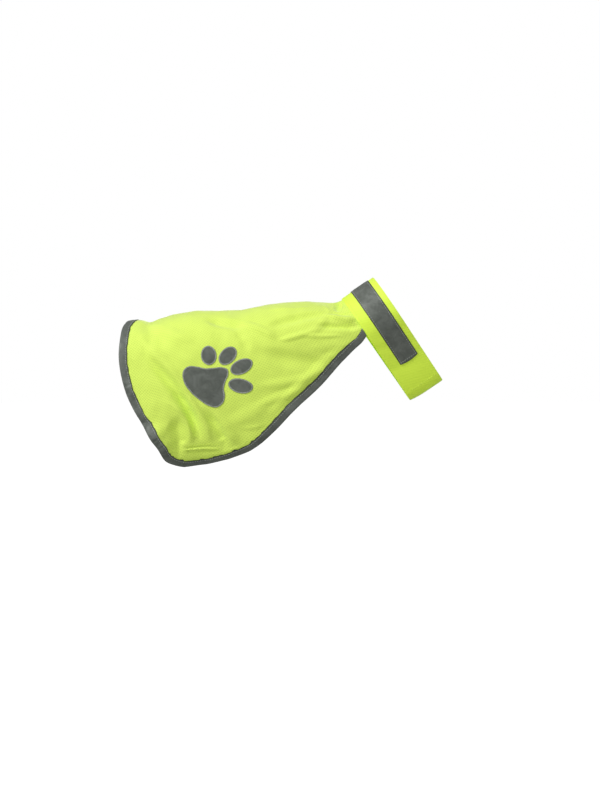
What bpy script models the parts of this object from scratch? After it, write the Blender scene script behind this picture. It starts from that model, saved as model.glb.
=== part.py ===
"""Reflective dog coat in its worn form: a mesh back panel bound in reflective tape, a woven collar band with a
reflective strip, a paw applique, and belly straps. Collar and straps close with hook and loop.

The back panel is described on its flat cut. A place on the cut is (along, round): `along` is the place on the
centre-back line and `round` is how far the cloth runs round the body from that line, negative on the right side.
Sizes are in millimetres and become metres when a mesh is made. +X points to the head, -Y to the right side and
+Z up. The origin is where the coat rests on the back: the inner face of the panel on the centre-back line.
"""

import math

import bpy
import numpy as np

MM = 0.001

# Walls and seams
CLOTH = 1.2
WEBBING = 1.4
TAPE = 1.0
SEAM_GAP = 0.3
# An applique or strap on the panel spans its facets, so it stands a little further off
PATCH_GAP = 0.6
ROOT_GAP = 0.75

# Reflective binding folded round the free edge of the back panel
BINDING_WIDTH = 10.0
FOLD_ROOM = 0.6
BINDING_FOLD = FOLD_ROOM + TAPE

# Collar band: a large round over the nape, a small round under the throat and straight runs between them
COLLAR_WIDTH = 46.5
COLLAR_LEAN = 34.1
COLLAR_TOP = (122.8, 14.8)
COLLAR_HEIGHT = 149.0
NAPE_RADIUS = 46.0
THROAT_RADIUS = 14.0
THROAT_TUCK = 2.0
THROAT_TUCK_REACH = 22.0
THROAT_TUCK_FROM = 107.0
COLLAR_LAP = 24.0
LAP_RAMP = 36.0
STRIP_WIDTH = 25.0
STRIP_REAR_MARGIN = 13.8
STRIP_HALF_LENGTH = 136.0

# Hook and loop closures lie between the two layers of a lap
LAYER_OFFSET = SEAM_GAP / 2 + TAPE + SEAM_GAP + WEBBING / 2
CLOSURE_MARGIN = 4.0

# Belly straps: each is sewn inside the panel and runs to the lap under the belly. The sections fan out
# towards the hem, so the strap's root takes less along the centre back than the strap is wide
STRAP_WIDTH = 40.0
STRAP_ROOT_WIDTH = 34.0
STRAP_ALONG = -48.5
STRAP_ROOT_TOP = 195.0
STRAP_ROOT_END = 202.0
STRAP_LEVEL = -171.5
STRAP_LAP = 22.0
STRAP_FLAT_FROM = 27.0
STRAP_BEND_IN = 3.0
STRAP_BEND_OUT = 12.0
STRAP_COLUMNS = 5
STRAP_ROOT_ROWS = 3
STRAP_BEND_ROWS = 8
STRAP_FLAT_ROWS = 4
# The stitching holds the cloth flat at the root, and the folds start again over this margin
FLAT_MARGIN_START = 3.0
FLAT_MARGIN_END = 12.0

# Cross sections of the worn form from the rump to under the collar. Columns: along, height of the back,
# crown radius, crown angle, inward turn of the flank in degrees per 100 mm, forward lean of the section
STATIONS = (
    (-146.0, -12.5, 50.0, 80.0, 13.0, 0.0),
    (-129.0, -11.5, 51.0, 80.0, 13.0, 0.0),
    (-119.0, -11.5, 52.0, 80.0, 13.5, 0.0),
    (-109.0, -13.5, 53.0, 80.0, 14.0, 0.0),
    (-98.0, -9.5, 54.0, 80.0, 15.0, 0.0),
    (-77.0, -4.0, 56.0, 81.0, 19.0, 0.0),
    (-50.0, 0.2, 57.0, 82.0, 23.0, 0.5),
    (-20.0, 0.3, 57.0, 83.0, 23.0, 3.0),
    (0.0, 1.2, 57.0, 84.0, 21.0, 5.5),
    (25.0, 6.0, 56.0, 86.0, 18.0, 10.0),
    (52.0, 10.0, 54.0, 90.0, 14.0, 16.5),
    (80.0, 11.2, 51.0, 97.0, 9.0, 24.0),
    (105.0, 10.0, 47.5, 106.0, 4.0, 31.0),
    (116.0, 10.2, 45.5, 110.0, 1.0, 33.5),
    (123.8, 13.4, 44.3, 112.0, 0.0, 34.1),
    (127.1, 15.63, 44.3, 112.0, 0.0, 34.1),
    (130.4, 17.86, 44.3, 112.0, 0.0, 34.1),
)

# Finished edge of half the cut. Columns: along, round.
# The rear edge runs from the centre back to the lower corner, and the side edge from there to the collar
REAR_EDGE = (
    (-130.5, 0.0),
    (-135.5, 12.0),
    (-141.0, 27.0),
    (-144.5, 48.0),
    (-145.8, 73.0),
    (-143.0, 94.0),
    (-137.0, 116.5),
    (-127.0, 139.0),
    (-114.0, 161.0),
    (-101.0, 184.0),
    (-86.0, 209.0),
)
SIDE_EDGE = (
    (-86.0, 209.0),
    (-66.0, 221.5),
    (-43.0, 222.5),
    (-22.0, 215.0),
    (-3.0, 206.0),
    (14.5, 190.0),
    (37.0, 163.0),
    (61.0, 139.0),
    (88.5, 108.5),
    (107.5, 90.0),
    (123.3, 77.6),
)
NECK_LINE = SIDE_EDGE[-1][0]
NECK_UNDERLAP = (126.9, 130.4)

# Main folds. Columns: start along, start round, middle along, middle round, end along, end round,
# half width, height, which is negative for a trough
FOLDS = (
    (-128.0, -46.0, -82.0, -108.0, -45.0, -199.0, 11.0, 1.8),
    (-106.0, -78.0, -70.0, -135.0, -53.0, -198.0, 8.0, -3.4),
    (-104.0, -108.0, -74.0, -147.0, -58.0, -198.0, 7.5, 1.9),
    (-104.0, -128.0, -83.0, -164.0, -73.0, -206.0, 8.5, -3.2),
    (-54.0, -148.0, -44.0, -175.0, -39.0, -198.0, 7.5, 1.7),
    (-47.0, -146.0, -34.0, -174.0, -28.0, -200.0, 8.0, -2.8),
    (-38.0, -145.0, -22.0, -171.0, -17.0, -204.0, 8.0, 1.5),
    (-136.0, -28.0, -100.0, -60.0, -56.0, -90.0, 12.0, -1.5),
    (-30.0, -38.0, -17.0, -44.0, -4.0, -46.0, 13.0, -1.8),
    (-2.0, -26.0, 28.0, -64.0, 58.0, -72.0, 9.0, 1.6),
    (44.0, -74.0, 72.0, -58.0, 102.0, -38.0, 9.0, 1.3),
    (46.0, -70.0, 78.0, -78.0, 112.0, -78.0, 9.0, 1.4),
    (14.0, -42.0, 52.0, -44.0, 96.0, -36.0, 11.0, -1.5),
    (78.0, -60.0, 100.0, -60.0, 119.0, -64.0, 8.0, -1.8),
    (-4.0, -78.0, 38.0, -92.0, 84.0, -98.0, 13.0, -1.8),
    (2.0, -108.0, 34.0, -133.0, 74.0, -116.0, 9.0, 1.6),
    (-24.0, -152.0, 14.0, -141.0, 50.0, -136.0, 9.0, 1.5),
    (-8.0, -166.0, 8.0, -158.0, 22.0, -158.0, 11.0, -1.6),
    (104.0, -22.0, 113.0, -24.0, 120.0, -26.0, 9.0, -1.5),
    (-124.0, 52.0, -86.0, 104.0, -56.0, 196.0, 12.0, 1.7),
    (-110.0, 74.0, -78.0, 130.0, -64.0, 199.0, 8.5, -2.9),
    (-98.0, 120.0, -72.0, 158.0, -48.0, 198.0, 8.0, 1.6),
    (-78.0, 128.0, -52.0, 160.0, -37.0, 199.0, 9.0, -2.5),
    (-44.0, 148.0, -28.0, 176.0, -14.0, 202.0, 8.5, 1.6),
    (-132.0, 30.0, -92.0, 66.0, -44.0, 80.0, 13.0, -1.6),
    (-6.0, 30.0, 30.0, 58.0, 70.0, 66.0, 10.0, 1.5),
    (18.0, 48.0, 62.0, 46.0, 104.0, 44.0, 11.0, -1.7),
    (50.0, 76.0, 82.0, 72.0, 114.0, 62.0, 9.0, 1.3),
    (-30.0, 92.0, 24.0, 104.0, 78.0, 96.0, 14.0, -1.9),
    (-40.0, 116.0, 8.0, 134.0, 62.0, 124.0, 11.0, 1.6),
    (-26.0, 158.0, 4.0, 152.0, 36.0, 148.0, 10.0, -1.6),
)

# Paw applique on the right side. Toe columns: number, along, round, half length, half width, tilt in degrees
PAW_TOES = (
    (1, -39.0, -87.0, 11.6, 8.7, 92.0),
    (2, -16.5, -87.5, 12.4, 8.6, 52.0),
    (3, -3.5, -101.5, 12.8, 8.6, 30.0),
    (4, -6.5, -124.5, 12.8, 8.8, -22.0),
)
PAW_PAD_CENTRE = (-42.0, -120.5)
PAW_PAD = (
    (-60.0, -99.0),
    (-43.0, -102.0),
    (-26.0, -100.0),
    (-19.5, -106.5),
    (-23.5, -122.0),
    (-22.5, -141.0),
    (-32.0, -150.0),
    (-49.0, -140.5),
    (-64.0, -122.0),
    (-68.5, -105.5),
)

# A flank with no inward turn is taken as an arc this slightly bent, in radians per millimetre
STRAIGHT_BEND = 1e-6

# Mesh steps
PANEL_STEPS_ALONG = 34
PANEL_STEPS_ROUND = 18
FOLD_STEPS = 14
# Columns: from, to, steps, measured round the collar from the nape
COLLAR_RUNS = (
    (0.0, 90.0, 16),
    (90.0, STRIP_HALF_LENGTH, 5),
    (STRIP_HALF_LENGTH, 170.0, 4),
)
THROAT_STEPS = 14
TOE_SPOKES = 18
PAD_SPOKES = 30
TOE_RINGS = (0.5, 0.85, 1.0)
PAD_RINGS = (0.3, 0.6, 0.85, 1.0)

SHARP_ANGLE = math.radians(50)

YELLOW_MESH = "#cde65a"
YELLOW_WEBBING = "#c6df52"
REFLECTIVE_GREY = "#6a706a"
HOOK_AND_LOOP = "#bfd84e"


def columns_at(rows, at):
    """The columns after the first, read at `at` from a smooth curve through the rows."""
    table = np.array(rows, float)
    key, values = table[:, 0], table[:, 1:]
    slopes = np.gradient(values, key, axis=0)
    at = np.asarray(at, float)
    row = np.clip(np.searchsorted(key, at) - 1, 0, len(key) - 2)
    step = (key[row + 1] - key[row])[..., None]
    t = (at - key[row])[..., None] / step
    found = (
        (1 + 2 * t) * (1 - t) ** 2 * values[row]
        + t**2 * (3 - 2 * t) * values[row + 1]
        + step * t * (1 - t) ** 2 * slopes[row]
        - step * t**2 * (1 - t) * slopes[row + 1]
    )
    return np.moveaxis(found, -1, 0)


def curve_through(points, at):
    """Places on a smooth plane curve through the points, where `at` runs from 0 to 1 by distance."""
    points = np.array(points, float)
    distance = np.concatenate([[0.0], np.cumsum(np.linalg.norm(np.diff(points, axis=0), axis=1))])
    rows = np.column_stack([distance / distance[-1], points])
    return columns_at(rows, at).T


def smooth_step(value, start, end):
    t = np.clip((np.asarray(value, float) - start) / (end - start), 0.0, 1.0)
    return t * t * (3 - 2 * t)


def unit(vectors):
    return vectors / np.linalg.norm(vectors, axis=-1, keepdims=True)


# Worn form of the back panel


def plain_form(place):
    """Outer face without folds: a crown arc over the back, then a flank arc that turns in under the belly."""
    along, round_ = place[..., 0], place[..., 1]
    height, crown, crown_angle, flank_turn, lean = columns_at(STATIONS, along)
    crown_angle, lean = np.radians(crown_angle), np.radians(lean)
    flank_bend = np.maximum(np.radians(flank_turn) / 100, STRAIGHT_BEND)
    reach = np.abs(round_)
    on_crown = np.minimum(reach, crown * crown_angle)
    angle = on_crown / crown
    turned = angle + flank_bend * (reach - on_crown)
    out = crown * np.sin(angle) + (np.sin(turned) - np.sin(angle)) / flank_bend
    drop = crown * (1 - np.cos(angle)) + (np.cos(angle) - np.cos(turned)) / flank_bend
    return np.stack(
        [along + drop * np.sin(lean), np.sign(round_) * out, height - drop * np.cos(lean)],
        axis=-1,
    )


def slopes_of(form, place, step=0.5):
    """How a form's points move along and round the cut."""
    along, round_ = np.array([step, 0.0]), np.array([0.0, step])
    return (
        (form(place + along) - form(place - along)) / (2 * step),
        (form(place + round_) - form(place - round_)) / (2 * step),
    )


def outward(form, place):
    along, round_ = slopes_of(form, place)
    return unit(np.cross(along, round_))


def open_fold(distance):
    return smooth_step(distance, FLAT_MARGIN_START, FLAT_MARGIN_END)


def fold_height(place):
    """Sum of the folds at each place, each a soft wave that fades out towards the ends of its line."""
    total = np.zeros(place.shape[:-1])
    t = np.linspace(0, 1, FOLD_STEPS + 1)
    for row in FOLDS:
        start, middle, end = np.array(row[:6]).reshape(3, 2)
        half_width, height = row[6:]
        handle = 2 * middle - (start + end) / 2
        line = np.outer((1 - t) ** 2, start) + np.outer(2 * t * (1 - t), handle) + np.outer(t**2, end)
        nearest = np.full(total.shape, np.inf)
        run = np.zeros(total.shape)
        for i in range(FOLD_STEPS):
            edge = line[i + 1] - line[i]
            share = np.clip((place - line[i]) @ edge / (edge @ edge), 0, 1)
            distance = np.linalg.norm(place - line[i] - share[..., None] * edge, axis=-1)
            run = np.where(distance < nearest, (i + share) / FOLD_STEPS, run)
            nearest = np.minimum(nearest, distance)
        wave = 0.5 + 0.5 * np.cos(np.pi * np.minimum(nearest / half_width, 1))
        total += height * wave * np.sqrt(np.clip(4 * run * (1 - run), 0, 1))
    beside = np.abs(place[..., 0] - STRAP_ALONG) - STRAP_ROOT_WIDTH / 2
    above = STRAP_ROOT_TOP - np.abs(place[..., 1])
    return total * np.maximum(open_fold(beside), open_fold(above))


def cloth_form(place):
    """Outer face of the folded cloth."""
    return plain_form(place) + fold_height(place)[..., None] * outward(plain_form, place)


def off_cloth(place, distance):
    """Places at a distance outside the outer face, or inside it if negative."""
    place = np.asarray(place, float)
    return cloth_form(place) + distance * outward(cloth_form, place)


# Making meshes


def linear(hex_colour):
    channels = [int(hex_colour[i : i + 2], 16) / 255 for i in (1, 3, 5)]
    return [c / 12.92 if c <= 0.04045 else ((c + 0.055) / 1.055) ** 2.4 for c in channels]


def finish(name, hex_colour, roughness, metallic=0.0):
    material = bpy.data.materials.new(name)
    material.use_nodes = True
    shader = material.node_tree.nodes["Principled BSDF"]
    shader.inputs["Base Color"].default_value = (*linear(hex_colour), 1.0)
    shader.inputs["Roughness"].default_value = roughness
    shader.inputs["Metallic"].default_value = metallic
    return material


def add_wall(name, outer, inner, faces, material, parent):
    """One closed body between two skins that share their faces. `faces` turn to the outer side."""
    count = len(outer)
    edges = {(face[i - 1], face[i]) for face in faces for i in range(len(face))}
    rims = [(b, a, a + count, b + count) for a, b in sorted(edges) if (b, a) not in edges]
    backs = [tuple(i + count for i in reversed(face)) for face in faces]
    mesh = bpy.data.meshes.new(name)
    points = np.concatenate([outer, inner]) * MM
    mesh.from_pydata([tuple(p) for p in points.tolist()], [], faces + backs + rims)
    mesh.materials.append(material)
    mesh.shade_smooth()
    mesh.set_sharp_from_angle(angle=SHARP_ANGLE)
    piece = bpy.data.objects.new(name, mesh)
    piece.parent = parent
    bpy.context.scene.collection.objects.link(piece)
    return piece


def grid_faces(rows, columns):
    return [
        (r * columns + c, r * columns + c + 1, (r + 1) * columns + c + 1, (r + 1) * columns + c)
        for r in range(rows - 1)
        for c in range(columns - 1)
    ]


def add_sheet(name, outer, inner, material, parent):
    """A wall over a grid of points. Its rows and columns turn, like X and Y, to the outer side."""
    rows, columns = outer.shape[:2]
    faces = [tuple(reversed(face)) for face in grid_faces(rows, columns)]
    return add_wall(name, outer.reshape(-1, 3), inner.reshape(-1, 3), faces, material, parent)


# Back panel and binding


def finished_edge():
    """Half of the finished edge: the rear stations from the centre back to the corner, then the side stations."""
    half = np.array(REAR_EDGE + SIDE_EDGE[1:])
    whole = np.concatenate([half[:0:-1] * (1, -1), half])
    lengths = np.linalg.norm(np.diff(whole, axis=0), axis=1)
    run = np.concatenate([[0.0], np.cumsum(lengths)]) / lengths.sum()
    corner = run[len(half) - 1 + len(REAR_EDGE) - 1]
    rear = curve_through(whole, np.linspace(0.5, corner, PANEL_STEPS_ROUND + 1))
    side = curve_through(whole, np.linspace(corner, 1.0, PANEL_STEPS_ALONG + 1))
    rear[0, 1] = 0.0
    side[-1] = half[-1]
    return np.concatenate([rear, side[1:]])


def inset(edge, width):
    """The half edge moved into the cloth by a real width. The last station stays on the neck line."""
    along, round_ = slopes_of(plain_form, edge)
    metric = np.stack(
        [
            np.stack([np.sum(along * along, -1), np.sum(along * round_, -1)], -1),
            np.stack([np.sum(round_ * along, -1), np.sum(round_ * round_, -1)], -1),
        ],
        -2,
    )
    tangent = np.gradient(edge, axis=0)
    tangent[0] = (0.0, 1.0)
    across = np.stack([tangent[:, 1], -tangent[:, 0]], -1)
    inward = np.einsum("nij,nj->ni", np.linalg.inv(metric), across)
    inward /= np.sqrt(np.einsum("ni,nij,nj->n", inward, metric, inward))[:, None]
    moved = edge + width * inward
    share = metric[-1] @ inward[-1] @ (0.0, -1.0) / math.sqrt(metric[-1, 1, 1])
    moved[-1] = (NECK_LINE, edge[-1, 1] - width / share)
    return moved


def mirrored(half):
    """Left stations and right stations of a half edge, from the left collar end round the rear to the right."""
    return np.concatenate([half[::-1], half[1:] * (1, -1)])


def panel_cut():
    """Places of the panel on its cut: rows from the rear to the neck, columns from the left side to the right."""
    inner = inset(finished_edge(), BINDING_WIDTH)
    rear, side = inner[: PANEL_STEPS_ROUND + 1], inner[PANEL_STEPS_ROUND:]
    u = np.linspace(0, 1, PANEL_STEPS_ALONG + 1)[:, None, None]
    v = np.linspace(0, 1, PANEL_STEPS_ROUND + 1)[None, :, None]
    ridge = rear[0] + u * (np.array([NECK_LINE, 0.0]) - rear[0])
    neck = np.array([NECK_LINE, 0.0]) + v * (side[-1] - np.array([NECK_LINE, 0.0]))
    corners = (
        (1 - u) * (1 - v) * rear[0]
        + (1 - u) * v * rear[-1]
        + u * (1 - v) * ridge[-1, 0]
        + u * v * side[-1]
    )
    half = (1 - v) * ridge + v * side[:, None] + (1 - u) * rear[None] + u * neck - corners
    return np.concatenate([half[:, :0:-1], half * (1, -1)], axis=1)


def add_back_panel(material, parent):
    field = panel_cut()
    rows, columns = field.shape[:2]
    edge = mirrored(inset(finished_edge(), BINDING_FOLD))
    places = [*field.reshape(-1, 2), *edge]
    faces = grid_faces(rows, columns)
    # The strip of cloth under the binding joins the field's left, rear and right sides to the edge
    left_side = [r * columns for r in range(rows - 1, 0, -1)]
    rear_side = list(range(columns))
    right_side = [r * columns + columns - 1 for r in range(1, rows)]
    border = left_side + rear_side + right_side
    first_edge = rows * columns
    faces += [
        (border[i + 1], border[i], first_edge + i, first_edge + i + 1) for i in range(len(border) - 1)
    ]
    # The neck runs on under the collar
    neck = [first_edge, *range((rows - 1) * columns, rows * columns), first_edge + len(edge) - 1]
    for along in NECK_UNDERLAP:
        first = len(places)
        places += [(along, places[i][1]) for i in neck]
        new = list(range(first, first + len(neck)))
        faces += [(neck[i], neck[i + 1], new[i + 1], new[i]) for i in range(len(neck) - 1)]
        neck = new
    places = np.array(places)
    return add_wall("back_panel", off_cloth(places, 0), off_cloth(places, -CLOTH), faces, material, parent)


def add_edge_binding(material, parent):
    """Tape folded in two over the edge, made from the edge points of the panel moved out."""
    half = finished_edge()
    edge = mirrored(inset(half, BINDING_FOLD))
    hem = mirrored(inset(half, BINDING_WIDTH))
    lift = outward(cloth_form, edge)
    hem_lift = outward(cloth_form, hem)
    face, back = off_cloth(edge, 0), off_cloth(edge, -CLOTH)
    out = unit(face - off_cloth(hem, 0))
    skins = []
    for clear, room in ((SEAM_GAP + TAPE, BINDING_FOLD), (SEAM_GAP, FOLD_ROOM)):
        skins.append(
            np.stack(
                [
                    off_cloth(hem, 0) + clear * hem_lift,
                    face + clear * lift,
                    (face + back) / 2 + room * out,
                    back - clear * lift,
                    off_cloth(hem, -CLOTH) - clear * hem_lift,
                ],
                axis=1,
            )
        )
    return add_sheet("edge_binding", skins[0][::-1], skins[1][::-1], material, parent)


# Collar


def collar_ring(run):
    """Place and outward direction on the band's outer line, `run` from the nape and negative on the right side.
    Both are (side, drop) in the ring's plane. Past the throat the line goes on up the other side."""
    lean_in = math.asin((NAPE_RADIUS - THROAT_RADIUS) / (COLLAR_HEIGHT - NAPE_RADIUS - THROAT_RADIUS))
    straight = (COLLAR_HEIGHT - NAPE_RADIUS - THROAT_RADIUS) * math.cos(lean_in)
    nape_run = NAPE_RADIUS * (math.pi / 2 + lean_in)
    half_round = nape_run + straight + THROAT_RADIUS * (math.pi / 2 - lean_in)
    reach = np.abs(np.asarray(run, float))
    past = reach > half_round
    reach = np.where(past, 2 * half_round - reach, reach)
    side = np.sign(run) * np.where(past, -1.0, 1.0)
    nape = np.minimum(reach, nape_run)
    line = np.clip(reach - nape_run, 0, straight)
    throat = np.maximum(reach - nape_run - straight, 0)
    end = math.pi / 2 + lean_in
    turn = nape / NAPE_RADIUS + throat / THROAT_RADIUS
    out = NAPE_RADIUS * np.sin(nape / NAPE_RADIUS) + line * math.cos(end)
    drop = NAPE_RADIUS * (1 - np.cos(nape / NAPE_RADIUS)) + line * math.sin(end)
    out = out + np.where(throat > 0, THROAT_RADIUS * (np.sin(turn) - math.sin(end)), 0)
    drop = drop + np.where(throat > 0, THROAT_RADIUS * (math.cos(end) - np.cos(turn)), 0)
    return np.stack([side * out, drop], -1), np.stack([side * np.sin(turn), -np.cos(turn)], -1), half_round


def off_collar(run, across, distance):
    """Places at a distance outside the middle of the band's wall. `across` runs from the rear edge to the front.
    At the throat the right end lies outside the left end, with the closures between them."""
    run, across = np.broadcast_arrays(np.asarray(run, float), np.asarray(across, float))
    place, facing, half_round = collar_ring(run)
    lap = smooth_step(np.abs(run), half_round - COLLAR_LAP - LAP_RAMP, half_round - COLLAR_LAP)
    layer = -np.sign(run) * lap * LAYER_OFFSET
    place = place + (distance - WEBBING / 2 + layer)[..., None] * facing
    low = smooth_step(place[..., 1], THROAT_TUCK_FROM, COLLAR_HEIGHT)
    rear = np.clip(1 - across / THROAT_TUCK_REACH, 0, 1) ** 2
    drop = place[..., 1] - THROAT_TUCK * rear * low
    lean = math.radians(COLLAR_LEAN)
    return np.stack(
        [
            COLLAR_TOP[0] + across * math.cos(lean) + drop * math.sin(lean),
            place[..., 0],
            COLLAR_TOP[1] + across * math.sin(lean) - drop * math.cos(lean),
        ],
        -1,
    )


def half_collar_stations():
    half_round = collar_ring(0.0)[2]
    runs = [np.linspace(start, end, steps + 1)[:-1] for start, end, steps in COLLAR_RUNS]
    throat = np.linspace(COLLAR_RUNS[-1][1], half_round + COLLAR_LAP, THROAT_STEPS + 1)
    return np.concatenate([*runs, throat])


def add_band(name, stations, across, bottom, thickness, material, parent):
    """A stretch of band whose lower face is `bottom` outside the middle of the collar's wall."""
    run, across = np.meshgrid(stations, across, indexing="ij")
    outer = off_collar(run, across, bottom + thickness)
    inner = off_collar(run, across, bottom)
    return add_sheet(name, outer[::-1], inner[::-1], material, parent)


def add_collar(webbing, reflective, closure, parent):
    half = half_collar_stations()
    stations = np.concatenate([-half[:0:-1], half])
    across = (0.0, CLOSURE_MARGIN, THROAT_TUCK_REACH / 2, THROAT_TUCK_REACH, COLLAR_WIDTH)
    add_band("collar_band", stations, across, -WEBBING / 2, WEBBING, webbing, parent)
    strip = stations[np.abs(stations) <= STRIP_HALF_LENGTH + 1e-6]
    across = (STRIP_REAR_MARGIN, THROAT_TUCK_REACH, STRIP_REAR_MARGIN + STRIP_WIDTH)
    add_band("collar_reflector", strip, across, WEBBING / 2 + SEAM_GAP, TAPE, reflective, parent)
    # The loop tape lies on the inner end of the band and the hook tape under its outer end
    half_round = collar_ring(0.0)[2]
    lap = np.linspace(-COLLAR_LAP + CLOSURE_MARGIN, COLLAR_LAP - CLOSURE_MARGIN, THROAT_STEPS + 1)
    across = (CLOSURE_MARGIN, THROAT_TUCK_REACH / 2, THROAT_TUCK_REACH, COLLAR_WIDTH - CLOSURE_MARGIN)
    above = WEBBING / 2 + SEAM_GAP
    add_band("collar_loop_tape", half_round + lap, across, above, TAPE, closure, parent)
    add_band("collar_hook_tape", -half_round - lap[::-1], across, -above - TAPE, TAPE, closure, parent)


# Belly straps


def strap_path(side, offset, layer):
    """Rows of places from the root inside the panel to the strap's end. `offset` is outwards, away from the body,
    and `layer` lifts the strap in the lap."""
    widths = np.linspace(-STRAP_ROOT_WIDTH / 2, STRAP_ROOT_WIDTH / 2, STRAP_COLUMNS)
    rows = []
    for round_ in np.linspace(STRAP_ROOT_TOP, STRAP_ROOT_END, STRAP_ROOT_ROWS):
        place = np.stack([STRAP_ALONG + widths, np.full(widths.shape, side * round_)], -1)
        rows.append(off_cloth(place, offset - CLOTH - ROOT_GAP - WEBBING / 2))
    start = rows[-1]
    heading = unit(rows[-1] - rows[-2])
    end = np.stack(
        [
            start[:, 0],
            np.full(widths.shape, side * STRAP_FLAT_FROM),
            np.full(widths.shape, STRAP_LEVEL + layer - offset),
        ],
        -1,
    )
    level = np.array([0.0, -side, 0.0])
    for t in np.linspace(0, 1, STRAP_BEND_ROWS + 1)[1:]:
        rows.append(
            (1 - t) ** 3 * start
            + 3 * t * (1 - t) ** 2 * (start + STRAP_BEND_IN * heading)
            + 3 * t**2 * (1 - t) * (end - STRAP_BEND_OUT * level)
            + t**3 * end
        )
    for reach in np.linspace(STRAP_FLAT_FROM, -STRAP_LAP, STRAP_FLAT_ROWS + 1)[1:]:
        rows.append(np.where([False, True, False], side * reach, end))
    return np.array(rows)


def add_belly_straps(webbing, closure, parent):
    for side, name, layer in ((-1, "belly_strap_right", -LAYER_OFFSET), (1, "belly_strap_left", LAYER_OFFSET)):
        outer = strap_path(side, WEBBING / 2, layer)
        inner = strap_path(side, -WEBBING / 2, layer)
        if side > 0:
            outer, inner = outer[::-1], inner[::-1]
        add_sheet(name, outer, inner, webbing, parent)
    half_length, half_width = STRAP_LAP - CLOSURE_MARGIN, STRAP_WIDTH / 2 - CLOSURE_MARGIN
    for name, low in (("belly_hook_tape", -SEAM_GAP / 2 - TAPE), ("belly_loop_tape", SEAM_GAP / 2)):
        across, along = np.meshgrid((-half_length, half_length), (-half_width, half_width), indexing="ij")
        centre = off_cloth((STRAP_ALONG, -STRAP_ROOT_END), 0)[0]
        flat = np.stack([centre + along, across, np.full(along.shape, STRAP_LEVEL + low)], -1)
        add_sheet(name, flat, flat + (0.0, 0.0, TAPE), closure, parent)


# Paw applique


def add_patch(name, centre, outline, rings, material, parent):
    """A flat patch that lies on the cloth: a fan round the centre, then rings of faces out to the outline."""
    centre = np.array(centre)
    count = len(outline)
    places = [centre]
    for share in rings:
        places += list(centre + share * (outline - centre))
    faces = [(0, 1 + i, 1 + (i + 1) % count) for i in range(count)]
    for ring in range(len(rings) - 1):
        first = 1 + ring * count
        for i in range(count):
            j = (i + 1) % count
            faces.append((first + i, first + count + i, first + count + j, first + j))
    places = np.array(places)
    bottom, top = off_cloth(places, PATCH_GAP), off_cloth(places, PATCH_GAP + TAPE)
    return add_wall(name, top, bottom, faces, material, parent)


def add_paw(material, parent):
    turn = np.linspace(0, 2 * math.pi, TOE_SPOKES, endpoint=False)
    for number, along, round_, half_length, half_width, tilt in PAW_TOES:
        tilt = math.radians(tilt)
        long_side = half_length * np.cos(turn)
        short_side = half_width * np.sin(turn)
        outline = np.stack(
            [
                along + long_side * math.cos(tilt) - short_side * math.sin(tilt),
                round_ + long_side * math.sin(tilt) + short_side * math.cos(tilt),
            ],
            -1,
        )
        add_patch(f"paw_toe_{number}", (along, round_), outline, TOE_RINGS, material, parent)
    # The pad's points run clockwise and are reversed to run the way of the toes
    points = np.array(PAW_PAD[::-1])
    laps = np.concatenate([points, points, points[:1]])
    outline = curve_through(laps, 0.25 + 0.5 * np.arange(PAD_SPOKES) / PAD_SPOKES)
    add_patch("paw_pad", PAW_PAD_CENTRE, outline, PAD_RINGS, material, parent)


def build():
    for old in list(bpy.data.objects):
        bpy.data.objects.remove(old, do_unlink=True)
    coat = bpy.data.objects.new("coat", None)
    bpy.context.scene.collection.objects.link(coat)
    mesh_knit = finish("yellow_mesh_knit", YELLOW_MESH, 0.75)
    webbing = finish("yellow_webbing", YELLOW_WEBBING, 0.65)
    reflective = finish("reflective_tape", REFLECTIVE_GREY, 0.45)
    closure = finish("hook_and_loop", HOOK_AND_LOOP, 0.9)
    add_back_panel(mesh_knit, coat)
    add_edge_binding(reflective, coat)
    add_collar(webbing, reflective, closure, coat)
    add_paw(reflective, coat)
    add_belly_straps(webbing, closure, coat)


build()
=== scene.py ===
import math

import bpy
import numpy as np
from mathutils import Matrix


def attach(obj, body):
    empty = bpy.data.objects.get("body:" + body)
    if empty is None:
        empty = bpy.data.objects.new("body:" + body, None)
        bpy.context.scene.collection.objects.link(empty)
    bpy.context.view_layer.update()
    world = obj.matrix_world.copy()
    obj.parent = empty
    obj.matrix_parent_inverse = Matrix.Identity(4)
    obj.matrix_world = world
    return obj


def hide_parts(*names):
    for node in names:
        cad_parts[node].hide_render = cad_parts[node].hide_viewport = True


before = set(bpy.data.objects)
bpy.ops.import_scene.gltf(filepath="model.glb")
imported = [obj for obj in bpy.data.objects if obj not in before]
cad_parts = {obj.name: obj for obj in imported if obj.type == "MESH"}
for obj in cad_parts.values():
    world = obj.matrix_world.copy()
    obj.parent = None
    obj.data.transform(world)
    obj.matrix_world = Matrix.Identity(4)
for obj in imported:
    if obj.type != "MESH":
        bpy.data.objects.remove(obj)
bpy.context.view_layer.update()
print("frame loaded:", len(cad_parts), "nodes")

mm = 0.001

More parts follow.
